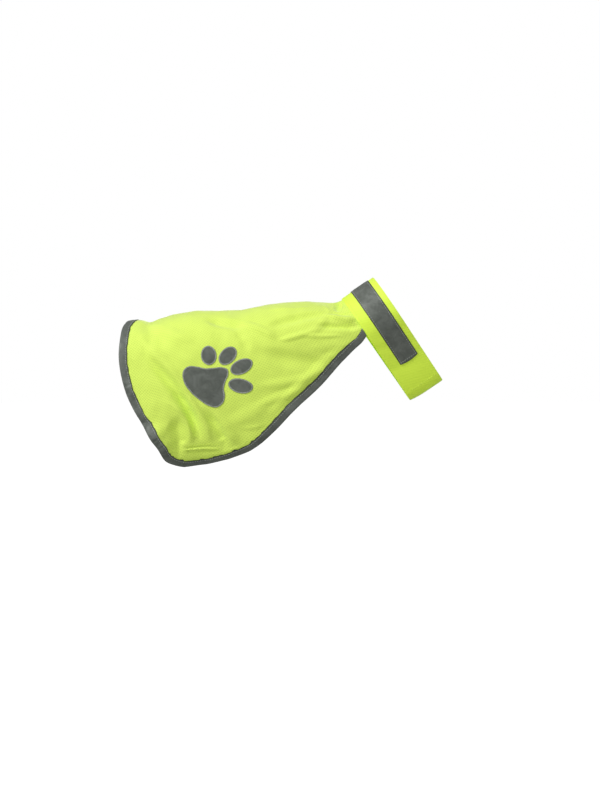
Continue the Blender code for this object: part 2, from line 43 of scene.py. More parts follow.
# Places on the flat cut are (along, round) in millimetres: along is the place on the centre-back line, and
# round is how far the cloth runs down from it, negative on the right side. +X points to the collar and +Z up.
# Section columns: along, height of the back, crown radius, crown angle, inward turn of the flank for each
# 100 mm, lean. Edge columns: along, round
panel = {
    "sections": (
        (-146, -12.5, 50, 80, 13, 0),
        (-129, -11.5, 51, 80, 13, 0),
        (-119, -11.5, 52, 80, 13.5, 0),
        (-109, -13.5, 53, 80, 14, 0),
        (-98, -9.5, 54, 80, 15, 0),
        (-77, -4, 56, 81, 19, 0),
        (-50, 0.2, 57, 82, 23, 0.5),
        (-20, 0.3, 57, 83, 23, 3),
        (0, 1.2, 57, 84, 21, 5.5),
        (25, 6, 56, 86, 18, 10),
        (52, 10, 54, 90, 14, 16.5),
        (80, 11.2, 51, 97, 9, 24),
        (105, 10, 47.5, 106, 4, 31),
        (116, 10.2, 45.5, 110, 1, 33.5),
        (123.8, 13.4, 44.3, 112, 0, 34.1),
        (127.1, 15.63, 44.3, 112, 0, 34.1),
        (130.4, 17.86, 44.3, 112, 0, 34.1),
    ),
    "rearEdge": (
        (-133, 0),
        (-137.2, 12),
        (-141.6, 27),
        (-144.5, 48),
        (-145.8, 73),
        (-143, 94),
        (-137, 116.5),
        (-127, 139),
        (-114, 161),
        (-101, 184.5),
        (-86, 210.5),
    ),
    "sideEdge": (
        (-86, 210.5),
        (-66, 223.5),
        (-43, 224.5),
        (-22, 217),
        (-3, 207),
        (14.5, 190),
        (37, 163),
        (61, 139),
        (88.5, 108.8),
        (107.5, 90.6),
        (123.3, 77.6),
    ),
    "neckLine": 123.3,
    "underCollar": (124.9, 126.6, 128.5, 130.4),  # the panel's neck edge is lapped under the collar
    "cloth": 0.7,
    "stepsAlong": 150,
    "stepsRound": 140,
    "closerAtHem": 0.35,
    # The hem is drawn in, so its binding turns down. The draw starts and ends between these places along
    "hemTuck": 5.5,
    "tuckWidth": 15.0,
    "tuckStart": (-112.0, -84.0),
    "tuckEnd": (-10.0, 30.0),
    "tuckPastHem": 1.2,
    "flatCut": (0.446, 0.300),
    "flatArea": 0.0992,
}

# Fold columns: start along, start round, middle along, middle round, end along, end round, half width,
# height, which is negative for a trough
folds = {
    "main": (
        (-124, -42, -93, -84, -57, -143, 9, 2.6),
        (-120, -62, -72, -133, -47, -198, 9.5, -6.2),
        (-82, -122, -62, -151, -49, -194, 5.5, -3),
        (-110, -178, -92, -167, -70, -151, 10, 0.9),
        (-97, -129, -66, -160, -61, -200, 5, 2.8),
        (-114, -150, -99, -178, -86, -208, 17, 4.4),
        (-86, -150, -73, -179, -72, -212, 12, -4.4),
        (-72, -122, -47, -162, -38, -201, 4.8, 3),
        (-48, -146, -31, -177, -25, -203, 6.5, -3.4),
        (-38, -148, -22, -175, -13, -206, 7, 2),
        (-114, -12, -82, -50, -50, -70, 10, 1.5),
        (-112, -34, -84, -66, -55, -92, 9, -1.8),
        (-46, -34, -18, -44, 8, -50, 11, -3.6),
        (-8, -54, 0, -69, 5, -86, 8, -1.8),
        (-2, -40, 21, -60, 38, -77, 7, 2.5),
        (34, -76, 54, -74, 76, -65, 5.5, 2.2),
        (62, -74, 81, -62, 101, -36, 6.5, 1.4),
        (56, -72, 78, -75, 104, -73, 4.5, 1.5),
        (56, -89, 82, -89, 105, -80, 9, 1),
        (24, -58, 60, -50, 100, -40, 10, -3.4),
        (74, -62, 102, -61, 130, -63, 7.5, -3.6),
        (8, -82, 48, -103, 82, -112, 14, -3.2),
        (12, -168, 60, -121, 114, -74, 8, 1.8),
        (4, -122, 40, -128, 74, -115, 9, 1.7),
        (-2, -131, 24, -138, 46, -132, 8, -0.5),
        (0, -150, 31, -143, 54, -130, 8, 1.3),
        (-32, -174, -4, -161, 24, -142, 12, 1.2),
        (92, -42, 110, -49, 128, -52, 7.5, 4.2),
        (108, -36, 117, -22, 120, -4, 7, -5),
        (-124, 48, -84, 108, -54, 196, 12, 2.6),
        (-118, 70, -80, 132, -62, 200, 9, -4.8),
        (-100, 126, -74, 164, -58, 201, 6, 2.6),
        (-76, 122, -50, 164, -38, 200, 7.5, -3.6),
        (-46, 146, -28, 176, -12, 202, 8, 2.4),
        (-132, 30, -92, 66, -44, 80, 13, -2.2),
        (-10, 34, 30, 62, 72, 68, 8.5, 2.4),
        (16, 46, 62, 48, 108, 42, 10, -3),
        (50, 80, 82, 74, 116, 60, 8, 2),
        (-30, 92, 24, 104, 78, 96, 14, -2.8),
        (-38, 114, 8, 134, 66, 120, 10, 2.2),
        (-26, 158, 4, 152, 38, 146, 9, -2),
    ),
    # Finer creases that the solid leaves out: beside the big troughs, over the shoulders, behind the collar
    "fine": (
        (-112, -52, -96, -70, -82, -84, 4.5, 0.6),
        (-62, -20, -34, -30, -8, -30, 6, -0.5),
        (24, -24, 56, -30, 88, -26, 5, 0.7),
        (96, -14, 101, -30, 98, -42, 3.6, 0.9),
        (-16, -172, 0, -176, 14, -172, 4.5, 0.6),
        (-34, -206, -20, -203, -6, -197, 3.6, 0.5),
        (-96, 88, -74, 124, -62, 166, 3.6, 0.8),
        (-86, 130, -66, 156, -54, 190, 3.4, -0.6),
        (-40, 150, -30, 168, -26, 190, 3.4, 0.6),
        (-110, 48, -92, 68, -80, 82, 4.5, 0.6),
        (28, 26, 58, 30, 86, 26, 5, 0.6),
        (66, 64, 86, 66, 108, 68, 3.6, 0.6),
        (98, 30, 109, 38, 116, 52, 5.5, 1.1),
        (98, 12, 108, 13, 118, 15, 4, -0.6),
        (8, 122, 34, 116, 64, 106, 4, -0.6),
    ),
    # The pleat that the seam of each belly strap raises on the outside
    "pleats": (
        (-74, -198.8, -50, -200.6, -26, -201.8, 1.6, 1.2),
        (-73, -196.4, -50, -198.2, -27, -199.4, 1.8, -0.9),
        (-72, -202.8, -50, -204.8, -29, -205.6, 2.6, -0.5),
        (-68, 198.6, -49, 199.4, -31, 199, 2.4, 1.4),
        (-67, 195, -49, 195.8, -32, 195.5, 2.4, -0.9),
    ),
    "steps": 14,
    "fade": 0.35,
    "endWidth": 0.6,  # of the half width
    "rumples": 16,
    "rumpleLengths": (11.0, 34.0),
    "rumpleHeight": 0.42,
    "seed": 4,
    # The strap's stitching holds the cloth flat, and the folds start again over this margin
    "flatStart": 1.0,
    "flatEnd": 9.0,
}

# Small gathers that a sewn edge pulls into the cloth, at uneven places along it
gathers = {
    "hem": {"spacing": 8.0, "length": 14.0, "halfWidth": 2.6, "height": 0.5, "sway": 3.0},
    "neck": {"spacing": 6.0, "length": 15.0, "halfWidth": 2.6, "height": 0.42, "sway": 2.5},
    "neckFrom": 1.0,  # under the collar
    "neckSteps": 40,
    # Shares of the length, height, half width and spacing that a gather may have
    "lengths": (0.5, 1.3),
    "heights": (0.4, 1.3),
    "halfWidths": (0.8, 1.4),
    "spacings": (0.55, 1.6),
    "seed": 11,
}

strap = {
    "width": 40.0,
    "rootWidth": 34.0,
    "along": -48.5,
    "rootTop": 195.0,
    "rootEnd": 202.0,
    "level": -171.5,
    "lap": 22.0,
    "flatFrom": 27.0,
    "bendIn": 3.0,
    "bendOut": 12.0,
    "webbing": 1.2,
    "rootDepth": 2.65,  # middle of the webbing inside the panel's outer face
    "layerOffset": 2.15,
    "columns": 25,
    "rootRows": 6,
    "bendRows": 26,
    "flatRows": 26,
    "stitchRows": (195.8, 201.8),
    "stitchRun": 33.0,
}

waveStretches = (1.0, 1.63, 2.71)


def columnsAt(rows, at):  # columns after the first, from a smooth curve through the rows
    table = np.array(rows, float)
    key, values = table[:, 0], table[:, 1:]
    slopes = np.gradient(values, key, axis=0)
    at = np.asarray(at, float)
    row = np.clip(np.searchsorted(key, at) - 1, 0, len(key) - 2)
    step = (key[row + 1] - key[row])[..., None]
    t = (at - key[row])[..., None] / step
    found = (
        (1 + 2 * t) * (1 - t) ** 2 * values[row]
        + t**2 * (3 - 2 * t) * values[row + 1]
        + step * t * (1 - t) ** 2 * slopes[row]
        - step * t**2 * (1 - t) * slopes[row + 1]
    )
    return np.moveaxis(found, -1, 0)


def runAlong(points):  # distance along a line of points
    return np.concatenate([[0.0], np.cumsum(np.linalg.norm(np.diff(points, axis=0), axis=-1))])


def curveThrough(points, at):  # at runs from 0 to 1 by distance
    points = np.array(points, float)
    run = runAlong(points)
    return columnsAt(np.column_stack([run / run[-1], points]), at).T


def smoothStep(value, start, end):
    t = np.clip((np.asarray(value, float) - start) / (end - start), 0.0, 1.0)
    return t * t * (3 - 2 * t)


def unit(vectors):
    return vectors / np.linalg.norm(vectors, axis=-1, keepdims=True)


def unevenWave(at, spacing, seed):  # a soft wave of uneven height and spacing, mostly from -1 to 1
    random = np.random.default_rng(seed)
    turns = [at / (spacing * stretch) + random.random() for stretch in waveStretches]
    return sum(np.sin(2 * np.pi * turn) for turn in turns) / 2


def plainForm(place):  # a crown arc over the back, then a flank arc that turns in under the belly
    along, reach = place[..., 0], np.abs(place[..., 1])
    height, crown, crownAngle, flankTurn, lean = columnsAt(panel["sections"], along)
    lean = np.radians(lean)
    flankBend = np.maximum(np.radians(flankTurn) / 100, 1e-6)  # never quite straight
    onCrown = np.minimum(reach, crown * np.radians(crownAngle))
    angle = onCrown / crown
    turned = angle + flankBend * (reach - onCrown)
    out = crown * np.sin(angle) + (np.sin(turned) - np.sin(angle)) / flankBend
    drop = crown * (1 - np.cos(angle)) + (np.cos(angle) - np.cos(turned)) / flankBend
    side = np.sign(place[..., 1])
    return np.stack([along + drop * np.sin(lean), side * out, height - drop * np.cos(lean)], axis=-1)


def slopesOf(form, place, step=0.5):
    along, round_ = np.array([step, 0.0]), np.array([0.0, step])
    return (
        (form(place + along) - form(place - along)) / (2 * step),
        (form(place + round_) - form(place - round_)) / (2 * step),
    )


def outward(form, place):
    along, round_ = slopesOf(form, place)
    return unit(np.cross(along, round_))


def foldWave(place, row):  # one fold, a soft wave that fades out towards the ends of its line
    start, middle, end = np.array(row[:6]).reshape(3, 2)
    halfWidth, height = row[6:]
    handle = 2 * middle - (start + end) / 2
    corners = np.stack([start, end, handle])
    near = np.all((place > corners.min(0) - halfWidth) & (place < corners.max(0) + halfWidth), axis=-1)
    wave = np.zeros(place.shape[:-1])
    spot = place[near]
    if len(spot) == 0:
        return wave
    t = np.linspace(0, 1, folds["steps"] + 1)
    line = np.outer((1 - t) ** 2, start) + np.outer(2 * t * (1 - t), handle) + np.outer(t**2, end)
    nearest = np.full(len(spot), np.inf)
    run = np.zeros(len(spot))
    for i in range(folds["steps"]):
        edge = line[i + 1] - line[i]
        share = np.clip((spot - line[i]) @ edge / (edge @ edge), 0, 1)
        distance = np.linalg.norm(spot - line[i] - share[..., None] * edge, axis=-1)
        run = np.where(distance < nearest, (i + share) / folds["steps"], run)
        nearest = np.minimum(nearest, distance)
    fade = smoothStep(run, 0, folds["fade"]) * (1 - smoothStep(run, 1 - folds["fade"], 1))
    reach = halfWidth * (folds["endWidth"] + (1 - folds["endWidth"]) * fade)
    bell = 0.5 + 0.5 * np.cos(np.pi * np.minimum(nearest / reach, 1))
    wave[near] = height * bell * fade
    return wave


def rumple(place):  # the slight unevenness of soft cloth, from shallow waves that cross each other
    random = np.random.default_rng(folds["seed"])
    shortest, longest = folds["rumpleLengths"]
    lift = np.zeros(place.shape[:-1])
    for _ in range(folds["rumples"]):
        angle, phase = random.uniform(0, 2 * math.pi, 2)
        length = random.uniform(shortest, longest)
        along = place[..., 0] * math.cos(angle) + place[..., 1] * math.sin(angle)
        lift = lift + np.sin(2 * math.pi * along / length + phase) * length / longest
    return folds["rumpleHeight"] * lift / math.sqrt(folds["rumples"])


def hemTuck(place):  # how far the cloth is drawn in near the hem
    along = place[..., 0]
    edge = np.array(panel["rearEdge"] + panel["sideEdge"][1:])
    hem = edge[np.argmin(edge[:, 0]) :]
    near = 1 - (np.interp(along, hem[:, 0], hem[:, 1]) - np.abs(place[..., 1])) / panel["tuckWidth"]
    free = smoothStep(along, *panel["tuckStart"]) * (1 - smoothStep(along, *panel["tuckEnd"]))
    return panel["hemTuck"] * free * np.clip(near, 0, panel["tuckPastHem"]) ** 2


def clothForm(place):  # outer face of the folded cloth
    rows = (*folds["main"], *folds["fine"], *edgeGathers)
    lift = rumple(place) + sum(foldWave(place, row) for row in rows)
    beside = np.abs(place[..., 0] - strap["along"]) - strap["rootWidth"] / 2
    above = strap["rootTop"] - np.abs(place[..., 1])
    opened = [smoothStep(distance, folds["flatStart"], folds["flatEnd"]) for distance in (beside, above)]
    pleats = sum(foldWave(place, row) for row in folds["pleats"])
    lift = lift * np.maximum(*opened) + pleats - hemTuck(place)
    return plainForm(place) + lift[..., None] * outward(plainForm, place)


def offCloth(place, distance):  # places at a distance outside the outer face, or inside it if negative
    place = np.asarray(place, float)
    return clothForm(place) + np.asarray(distance, float)[..., None] * outward(clothForm, place)


def stepsFromSpine():  # shares of the way from the centre back to the side edge, closer towards the hem
    share = np.linspace(0, 1, panel["stepsRound"] + 1)
    return share * (1 + panel["closerAtHem"] * (1 - share))


# Half of the finished edge: rear stations from the centre back to the corner, then the side's
def finishedEdge():
    half = np.array(panel["rearEdge"] + panel["sideEdge"][1:])
    whole = np.concatenate([half[:0:-1] * (1, -1), half])
    run = runAlong(whole)
    corner = run[len(half) - 1 + len(panel["rearEdge"]) - 1] / run[-1]
    rear = curveThrough(whole, 0.5 + (corner - 0.5) * stepsFromSpine())
    side = curveThrough(whole, np.linspace(corner, 1.0, panel["stepsAlong"] + 1))
    rear[0, 1] = 0.0
    side[-1] = half[-1]
    return np.concatenate([rear, side[1:]])


# The half edge moved into the cloth by a real width, one for all stations or one for each
def inset(edge, width):
    width = np.broadcast_to(np.asarray(width, float), len(edge))
    along, round_ = slopesOf(plainForm, edge)
    slopes = np.stack([along, round_], 1)
    metric = np.einsum("nik,njk->nij", slopes, slopes)
    tangent = np.gradient(edge, axis=0)
    tangent[0] = (0.0, 1.0)
    across = np.stack([tangent[:, 1], -tangent[:, 0]], -1)
    inward = np.einsum("nij,nj->ni", np.linalg.inv(metric), across)
    inward /= np.sqrt(np.einsum("ni,nij,nj->n", inward, metric, inward))[:, None]
    moved = edge + width[:, None] * inward
    share = metric[-1] @ inward[-1] @ (0.0, -1.0) / math.sqrt(metric[-1, 1, 1])
    moved[-1] = (panel["neckLine"], edge[-1, 1] - width[-1] / share)
    return moved


def mirrored(half):  # from the left collar end round the rear to the right collar end
    return np.concatenate([half[::-1], half[1:] * (1, -1)])


def unevenGathers(line, inner, style, random):  # short folds that run from a line towards another one
    run = runAlong(line)
    rows = []
    at = style["spacing"]
    while at < run[-1] - style["spacing"]:
        start = np.array([np.interp(at, run, line[:, i]) for i in (0, 1)])
        aim = at + style["sway"] * random.uniform(-1, 1)
        end = np.array([np.interp(aim, run, inner[:, i]) for i in (0, 1)])
        end = start + random.uniform(*gathers["lengths"]) * (end - start)
        height = style["height"] * random.uniform(*gathers["heights"]) * random.choice((-1, 1))
        halfWidth = style["halfWidth"] * random.uniform(*gathers["halfWidths"])
        rows.append((*start, *(start + end) / 2, *end, halfWidth, height))
        at += style["spacing"] * random.uniform(*gathers["spacings"])
    return rows


def makeEdgeGathers(half):
    random = np.random.default_rng(gathers["seed"])
    hem = inset(half, gathers["hem"]["length"])
    reach = np.linspace(0, half[-1, 1], gathers["neckSteps"])
    neck = np.stack([np.full(reach.shape, panel["neckLine"] + gathers["neckFrom"]), reach], -1)
    behind = neck - (gathers["neck"]["length"], 0)
    rows = []
    for side in (-1, 1):
        turn = (1, side)
        rows += unevenGathers(half * turn, hem * turn, gathers["hem"], random)
        rows += unevenGathers(neck * turn, behind * turn, gathers["neck"], random)
    return rows


edgeGathers = makeEdgeGathers(finishedEdge())


def toLinear(hexColour):
    channels = [int(hexColour[i : i + 2], 16) / 255 for i in (1, 3, 5)]
    return (*[c / 12.92 if c <= 0.04045 else ((c + 0.055) / 1.055) ** 2.4 for c in channels], 1.0)


# Inputs are given by name or place, as a value or as another node's socket
def addNode(tree, kind, inputs=None, **settings):
    node = tree.nodes.new(kind)
    for name, value in settings.items():
        setattr(node, name, value)
    for name, value in (inputs or {}).items():
        if isinstance(value, bpy.types.NodeSocket):
            tree.links.new(value, node.inputs[name])
        else:
            node.inputs[name].default_value = value
    return node


# Places of the Mix node's factor, its two colours and its resulting colour
mixFactor, mixFirst, mixSecond, mixResult = 0, 6, 7, 2


def newMaterial(name, constants):
    material = bpy.data.materials.new(name)
    material.use_nodes = True
    shader = material.node_tree.nodes["Principled BSDF"]
    for socket, value in constants.items():
        shader.inputs[socket].default_value = value
    return material, material.node_tree, shader


def finishMaterial(tree, shader, colour, height, depth):
    bump = addNode(tree, "ShaderNodeBump", {"Height": height, "Distance": depth * mm, "Strength": 1.0})
    tree.links.new(colour, shader.inputs["Base Color"])
    tree.links.new(bump.outputs["Normal"], shader.inputs["Normal"])


# Polyester birdseye mesh, knitted in fluorescent yellow and left matt: rows of small eyes between soft yarns,
# where the eyes' darker colour is painted shade.
# The dye gives back a little more light than falls on it, drawn as a steady painted glow that also lightens
# the shaded parts
meshKnit = {
    "yarn": "#dcf16b",
    # The eyes' darker colour is painted shade
    "eyeShade": "#c9e05e",
    # A steady painted glow for the fluorescent dye, which lightens the shade too
    "glow": "#aae000",
    "glowStrength": 0.12,
    "eyePitch": 2.5,  # the real pitch is about 1.3 mm and would not show, so it is drawn twice as coarse
    "rowAngle": 38.0,
    "yarnEdge": (0.12, 0.42),  # of the pitch, from an eye's middle
    "dyePatch": 41.667,
    "dyeRange": (0.96, 1.04),
    "fibre": 0.9091,  # real fibres are finer and would not show
    "fibreShare": 0.25,
    "depth": 0.20,
}


def fluorescentMeshKnit():
    material, tree, shader = newMaterial(
        "fluorescentMeshKnit",
        {
            "Roughness": 0.72,
            "Sheen Weight": 0.40,
            "Sheen Roughness": 0.45,
            "Specular IOR Level": 0.3,
            # The steady emission is a painted glow
            "Emission Color": toLinear(meshKnit["glow"]),
            "Emission Strength": meshKnit["glowStrength"],
        },
    )
    cut = addNode(tree, "ShaderNodeUVMap", uv_map="cut")
    turned = {
        "Vector": cut.outputs["UV"],
        "Rotation": (0, 0, math.radians(meshKnit["rowAngle"])),
        "Scale": (1 / (meshKnit["eyePitch"] * mm),) * 3,
    }
    rows = addNode(tree, "ShaderNodeMapping", turned)
    grid = {"Vector": rows.outputs["Vector"], "Scale": 1.0, "Randomness": 0.1}
    eyes = addNode(tree, "ShaderNodeTexVoronoi", grid, voronoi_dimensions="2D")
    start, end = meshKnit["yarnEdge"]
    rim = {"Value": eyes.outputs["Distance"], "From Min": start, "From Max": end}
    yarn = addNode(tree, "ShaderNodeMapRange", rim, interpolation_type="SMOOTHSTEP").outputs["Result"]
    place = addNode(tree, "ShaderNodeTexCoord").outputs["Object"]
    patches = {"Vector": place, "Scale": 1 / (meshKnit["dyePatch"] * mm), "Detail": 3.0}
    dye = addNode(tree, "ShaderNodeTexNoise", patches).outputs["Fac"]
    fibres = {"Vector": place, "Scale": 1 / (meshKnit["fibre"] * mm), "Detail": 1.0}
    fibre = addNode(tree, "ShaderNodeTexNoise", fibres).outputs["Fac"]
    # Yarn against eye: the eyes' darker colour is painted shade
    sides = {mixFactor: yarn, mixFirst: toLinear(meshKnit["eyeShade"]), mixSecond: toLinear(meshKnit["yarn"])}
    knit = addNode(tree, "ShaderNodeMix", sides, data_type="RGBA").outputs[mixResult]
    low, high = meshKnit["dyeRange"]
    patchy = addNode(tree, "ShaderNodeMapRange", {"Value": dye, "To Min": low, "To Max": high})
    dyed = {0: knit, "Scale": patchy.outputs["Result"]}
    colour = addNode(tree, "ShaderNodeVectorMath", dyed, operation="SCALE")
    raised = {0: fibre, 1: meshKnit["fibreShare"], 2: yarn}
    fuzz = addNode(tree, "ShaderNodeMath", raised, operation="MULTIPLY_ADD")
    finishMaterial(tree, shader, colour.outputs["Vector"], fuzz.outputs["Value"], meshKnit["depth"])
    return material


# Polyester band woven in the same fluorescent yellow: fine slanted ribs give a smoother, silkier face, and a
# steady painted glow stands in for the dye's fluorescence and lightens its shaded side
bandWeave = {
    "warp": "#e0f953",
    "weft": "#d8f14d",
    # A steady painted glow, which lightens the band's shade
    "glow": "#aae000",
    "glowStrength": 0.16,
    "ribPitch": 1.4,
    "dyePatch": 25.0,
    "dyeRange": (0.97, 1.03),
    "depth": 0.10,
}


def fluorescentBandWeave():
    material, tree, shader = newMaterial(
        "fluorescentBandWeave",
        {
            "Roughness": 0.58,
            "Sheen Weight": 0.18,
            "Sheen Roughness": 0.35,
            "Specular IOR Level": 0.35,
            # The steady emission is a painted glow
            "Emission Color": toLinear(bandWeave["glow"]),
            "Emission Strength": bandWeave["glowStrength"],
        },
    )
    cut = addNode(tree, "ShaderNodeUVMap", uv_map="cut")
    # One wave of this texture is 2 pi / 20 of its scaled length
    scale = math.pi / 10 / (bandWeave["ribPitch"] * mm)
    slanted = {"Vector": cut.outputs["UV"], "Scale": scale, "Distortion": 0.6}
    ribs = addNode(tree, "ShaderNodeTexWave", slanted, bands_direction="DIAGONAL").outputs["Fac"]
    place = addNode(tree, "ShaderNodeTexCoord").outputs["Object"]
    patches = {"Vector": place, "Scale": 1 / (bandWeave["dyePatch"] * mm), "Detail": 3.0}
    dye = addNode(tree, "ShaderNodeTexNoise", patches).outputs["Fac"]
    sides = {mixFactor: ribs, mixFirst: toLinear(bandWeave["weft"]), mixSecond: toLinear(bandWeave["warp"])}
    thread = addNode(tree, "ShaderNodeMix", sides, data_type="RGBA").outputs[mixResult]
    low, high = bandWeave["dyeRange"]
    patchy = addNode(tree, "ShaderNodeMapRange", {"Value": dye, "To Min": low, "To Max": high})
    dyed = {0: thread, "Scale": patchy.outputs["Result"]}
    colour = addNode(tree, "ShaderNodeVectorMath", dyed, operation="SCALE")
    finishMaterial(tree, shader, colour.outputs["Vector"], ribs, bandWeave["depth"])
    return material


# Retroreflective fabric: glass beads half sunk in an aluminised layer on grey polyester. In soft light it is
# an even satin grey, a little mottled where it has been creased, and its cut edges are dark
beadTape = {
    "beads": "#70756f",
    "creased": "#5b605a",
    "cutEdge": "#2e322f",
    "edgeStart": 0.49,
    "edgeEnd": 0.77,
    "crease": 13.333,
    "creaseEdge": (0.35, 0.65),
    "roughness": (0.36, 0.56),
    "creaseHeight": 6.0,  # against a bead
    "grain": 0.4,  # the beads are 0.05 mm and would not show, so the grain is drawn coarser
    "depth": 0.06,
}


def glassBeadFabric():
    material, tree, shader = newMaterial(
        "glassBeadFabric",
        {"Metallic": 0.12, "Specular IOR Level": 0.25, "Sheen Weight": 0.1, "Sheen Roughness": 0.5},
    )
    cut = addNode(tree, "ShaderNodeUVMap", uv_map="cut")
    inFromEdge = addNode(tree, "ShaderNodeSeparateXYZ", {"Vector": cut.outputs["UV"]}).outputs["Y"]
    place = addNode(tree, "ShaderNodeTexCoord").outputs["Object"]
    creased = {"Vector": place, "Scale": 1 / (beadTape["crease"] * mm), "Detail": 4.0, "Roughness": 0.6}
    creases = addNode(tree, "ShaderNodeTexNoise", {**creased, "Distortion": 0.8}).outputs["Fac"]
    grain = {"Vector": place, "Scale": 1 / (beadTape["grain"] * mm), "Detail": 1.0}
    beads = addNode(tree, "ShaderNodeTexNoise", grain).outputs["Fac"]
    start, end = beadTape["creaseEdge"]
    worn = addNode(tree, "ShaderNodeMapRange", {"Value": creases, "From Min": start, "From Max": end})
    sides = {mixFirst: toLinear(beadTape["creased"]), mixSecond: toLinear(beadTape["beads"])}
    sides[mixFactor] = worn.outputs["Result"]
    face = addNode(tree, "ShaderNodeMix", sides, data_type="RGBA").outputs[mixResult]
    rim = {"Value": inFromEdge, "From Min": beadTape["edgeStart"] * mm, "From Max": beadTape["edgeEnd"] * mm}
    inside = addNode(tree, "ShaderNodeMapRange", rim, interpolation_type="SMOOTHSTEP").outputs["Result"]
    sides = {mixFactor: inside, mixFirst: toLinear(beadTape["cutEdge"]), mixSecond: face}
    colour = addNode(tree, "ShaderNodeMix", sides, data_type="RGBA").outputs[mixResult]
    low, high = beadTape["roughness"]
    gloss = addNode(tree, "ShaderNodeMapRange", {"Value": creases, "To Min": low, "To Max": high})
    tree.links.new(gloss.outputs["Result"], shader.inputs["Roughness"])
    raised = {0: creases, 1: beadTape["creaseHeight"], 2: beads}
    height = addNode(tree, "ShaderNodeMath", raised, operation="MULTIPLY_ADD")
    finishMaterial(tree, shader, colour, height.outputs["Value"], beadTape["depth"])
    return material


# Hook and loop tape, woven nylon with a dense pile: matt, a speckle of loops with a darker colour between
# them, painted shade
pileTape = {"pile": "#c9e04a", "shadeBetweenLoops": "#93a934", "loop": 0.9, "depth": 0.5}


def nylonPileTape():
    material, tree, shader = newMaterial("nylonPileTape", {"Roughness": 0.9, "Sheen Weight": 0.4})
    place = addNode(tree, "ShaderNodeTexCoord").outputs["Object"]
    grid = {"Vector": place, "Scale": 1 / (pileTape["loop"] * mm)}
    loops = addNode(tree, "ShaderNodeTexVoronoi", grid).outputs["Distance"]
    # Between the loops the darker colour is painted shade
    sides = {mixFactor: loops, mixFirst: toLinear(pileTape["pile"]), mixSecond: toLinear(pileTape["shadeBetweenLoops"])}
    colour = addNode(tree, "ShaderNodeMix", sides, data_type="RGBA").outputs[mixResult]
    finishMaterial(tree, shader, colour, loops, pileTape["depth"])
    return material


# Spun polyester sewing thread: two twisted plies, a soft lustre along each stitch
sewingThread = {
    "yellow": ("#e4fa60", "#d3ec4e"),
    "grey": ("#c4c9c1", "#868c86"),
    "twist": 0.6667,
    "depth": 0.08,
}


def spunThread(name, light, dark):
    finish = {"Roughness": 0.5, "Sheen Weight": 0.3, "Specular IOR Level": 0.4}
    material, tree, shader = newMaterial(name, finish)
    place = addNode(tree, "ShaderNodeTexCoord").outputs["Object"]
    plies = {"Vector": place, "Scale": 1 / (sewingThread["twist"] * mm), "Detail": 1.0}
    twist = addNode(tree, "ShaderNodeTexNoise", plies).outputs["Fac"]
    sides = {mixFactor: twist, mixFirst: toLinear(dark), mixSecond: toLinear(light)}
    colour = addNode(tree, "ShaderNodeMix", sides, data_type="RGBA").outputs[mixResult]
    finishMaterial(tree, shader, colour, twist, sewingThread["depth"])
    return material


materials = {
    "mesh": fluorescentMeshKnit(),
    "band": fluorescentBandWeave(),
    "tape": glassBeadFabric(),
    "pile": nylonPileTape(),
    "yellowThread": spunThread("yellowSpunThread", *sewingThread["yellow"]),
    "greyThread": spunThread("greySpunThread", *sewingThread["grey"]),
}
print("materials made:", len(materials))

sharpAngle = 60.0  # edges turn sharp past it


# One closed wall between two skins that share their faces
def addShell(name, outer, inner, faces, cut, material):
    count = len(outer)
    edges = {(face[i - 1], face[i]) for face in faces for i in range(len(face))}
    rims = [(b, a, a + count, b + count) for a, b in sorted(edges) if (b, a) not in edges]
    backs = [tuple(i + count for i in reversed(face)) for face in faces]
    mesh = bpy.data.meshes.new(name)
    points = np.concatenate([outer, inner]) * mm
    mesh.from_pydata(points.tolist(), [], faces + backs + rims)
    corners = np.zeros(len(mesh.loops), np.int32)
    mesh.loops.foreach_get("vertex_index", corners)
    layer = mesh.uv_layers.new(name="cut")
    layer.uv.foreach_set("vector", (np.concatenate([cut, cut])[corners] * mm).astype(np.float32).ravel())
    mesh.materials.append(material)
    mesh.shade_smooth()
    mesh.set_sharp_from_angle(angle=math.radians(sharpAngle))
    piece = bpy.data.objects.new(name, mesh)
    bpy.context.scene.collection.objects.link(piece)
    return piece


def gridFaces(rows, columns):
    return [
        (r * columns + c, r * columns + c + 1, (r + 1) * columns + c + 1, (r + 1) * columns + c)
        for r in range(rows - 1)
        for c in range(columns - 1)
    ]


# A wall over a grid whose rows and columns turn to the outer side
def addSheet(name, outer, inner, cut, material):
    rows, columns = outer.shape[:2]
    faces = [tuple(reversed(face)) for face in gridFaces(rows, columns)]
    return addShell(name, outer.reshape(-1, 3), inner.reshape(-1, 3), faces, cut.reshape(-1, 2), material)


def carry(piece, slot, *nodes):
    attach(piece, "root")
    if nodes:
        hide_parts(*nodes)
    return piece


# Back panel

binding = {
    "width": 10.0,
    "fold": 1.6,  # how far in from the finished edge the cloth ends
    "gap": 0.25,
    "tape": 0.5,
    "waviness": 0.35,
    "wave": 11.0,
    "puff": 0.25,
    "puffWave": 7.7,
    # The tape covers more of the front edges and less beside the collar, from these places along
    "fuller": 1.2,
    "fullerFrom": (0.0, 30.0),
    "slimmer": 2.16,
    "slimmerFrom": (92.0, 122.0),
    # Here and there the sewing has drawn the tape's edge over the cloth, where the hem is tucked this far
    "notch": 1.4,
    "notchWave": 9.0,
    "notchGain": 2.2,
    "notchLevel": 0.9,
    "notchTuck": (1.0, 4.0),
    # Stitches and columns of the tape, from the finished edge
    "stitchIn": 8.3,
    "columns": (10.0, 9.5, 8.9, 8.3, 7.7, 6.5, 5.0, 3.6, 2.4, 1.6),
    "foldAngles": (60, 30, 0, -30, -60),
    "seeds": {"wave": 3, "notch": 9, "puff": 5},
}


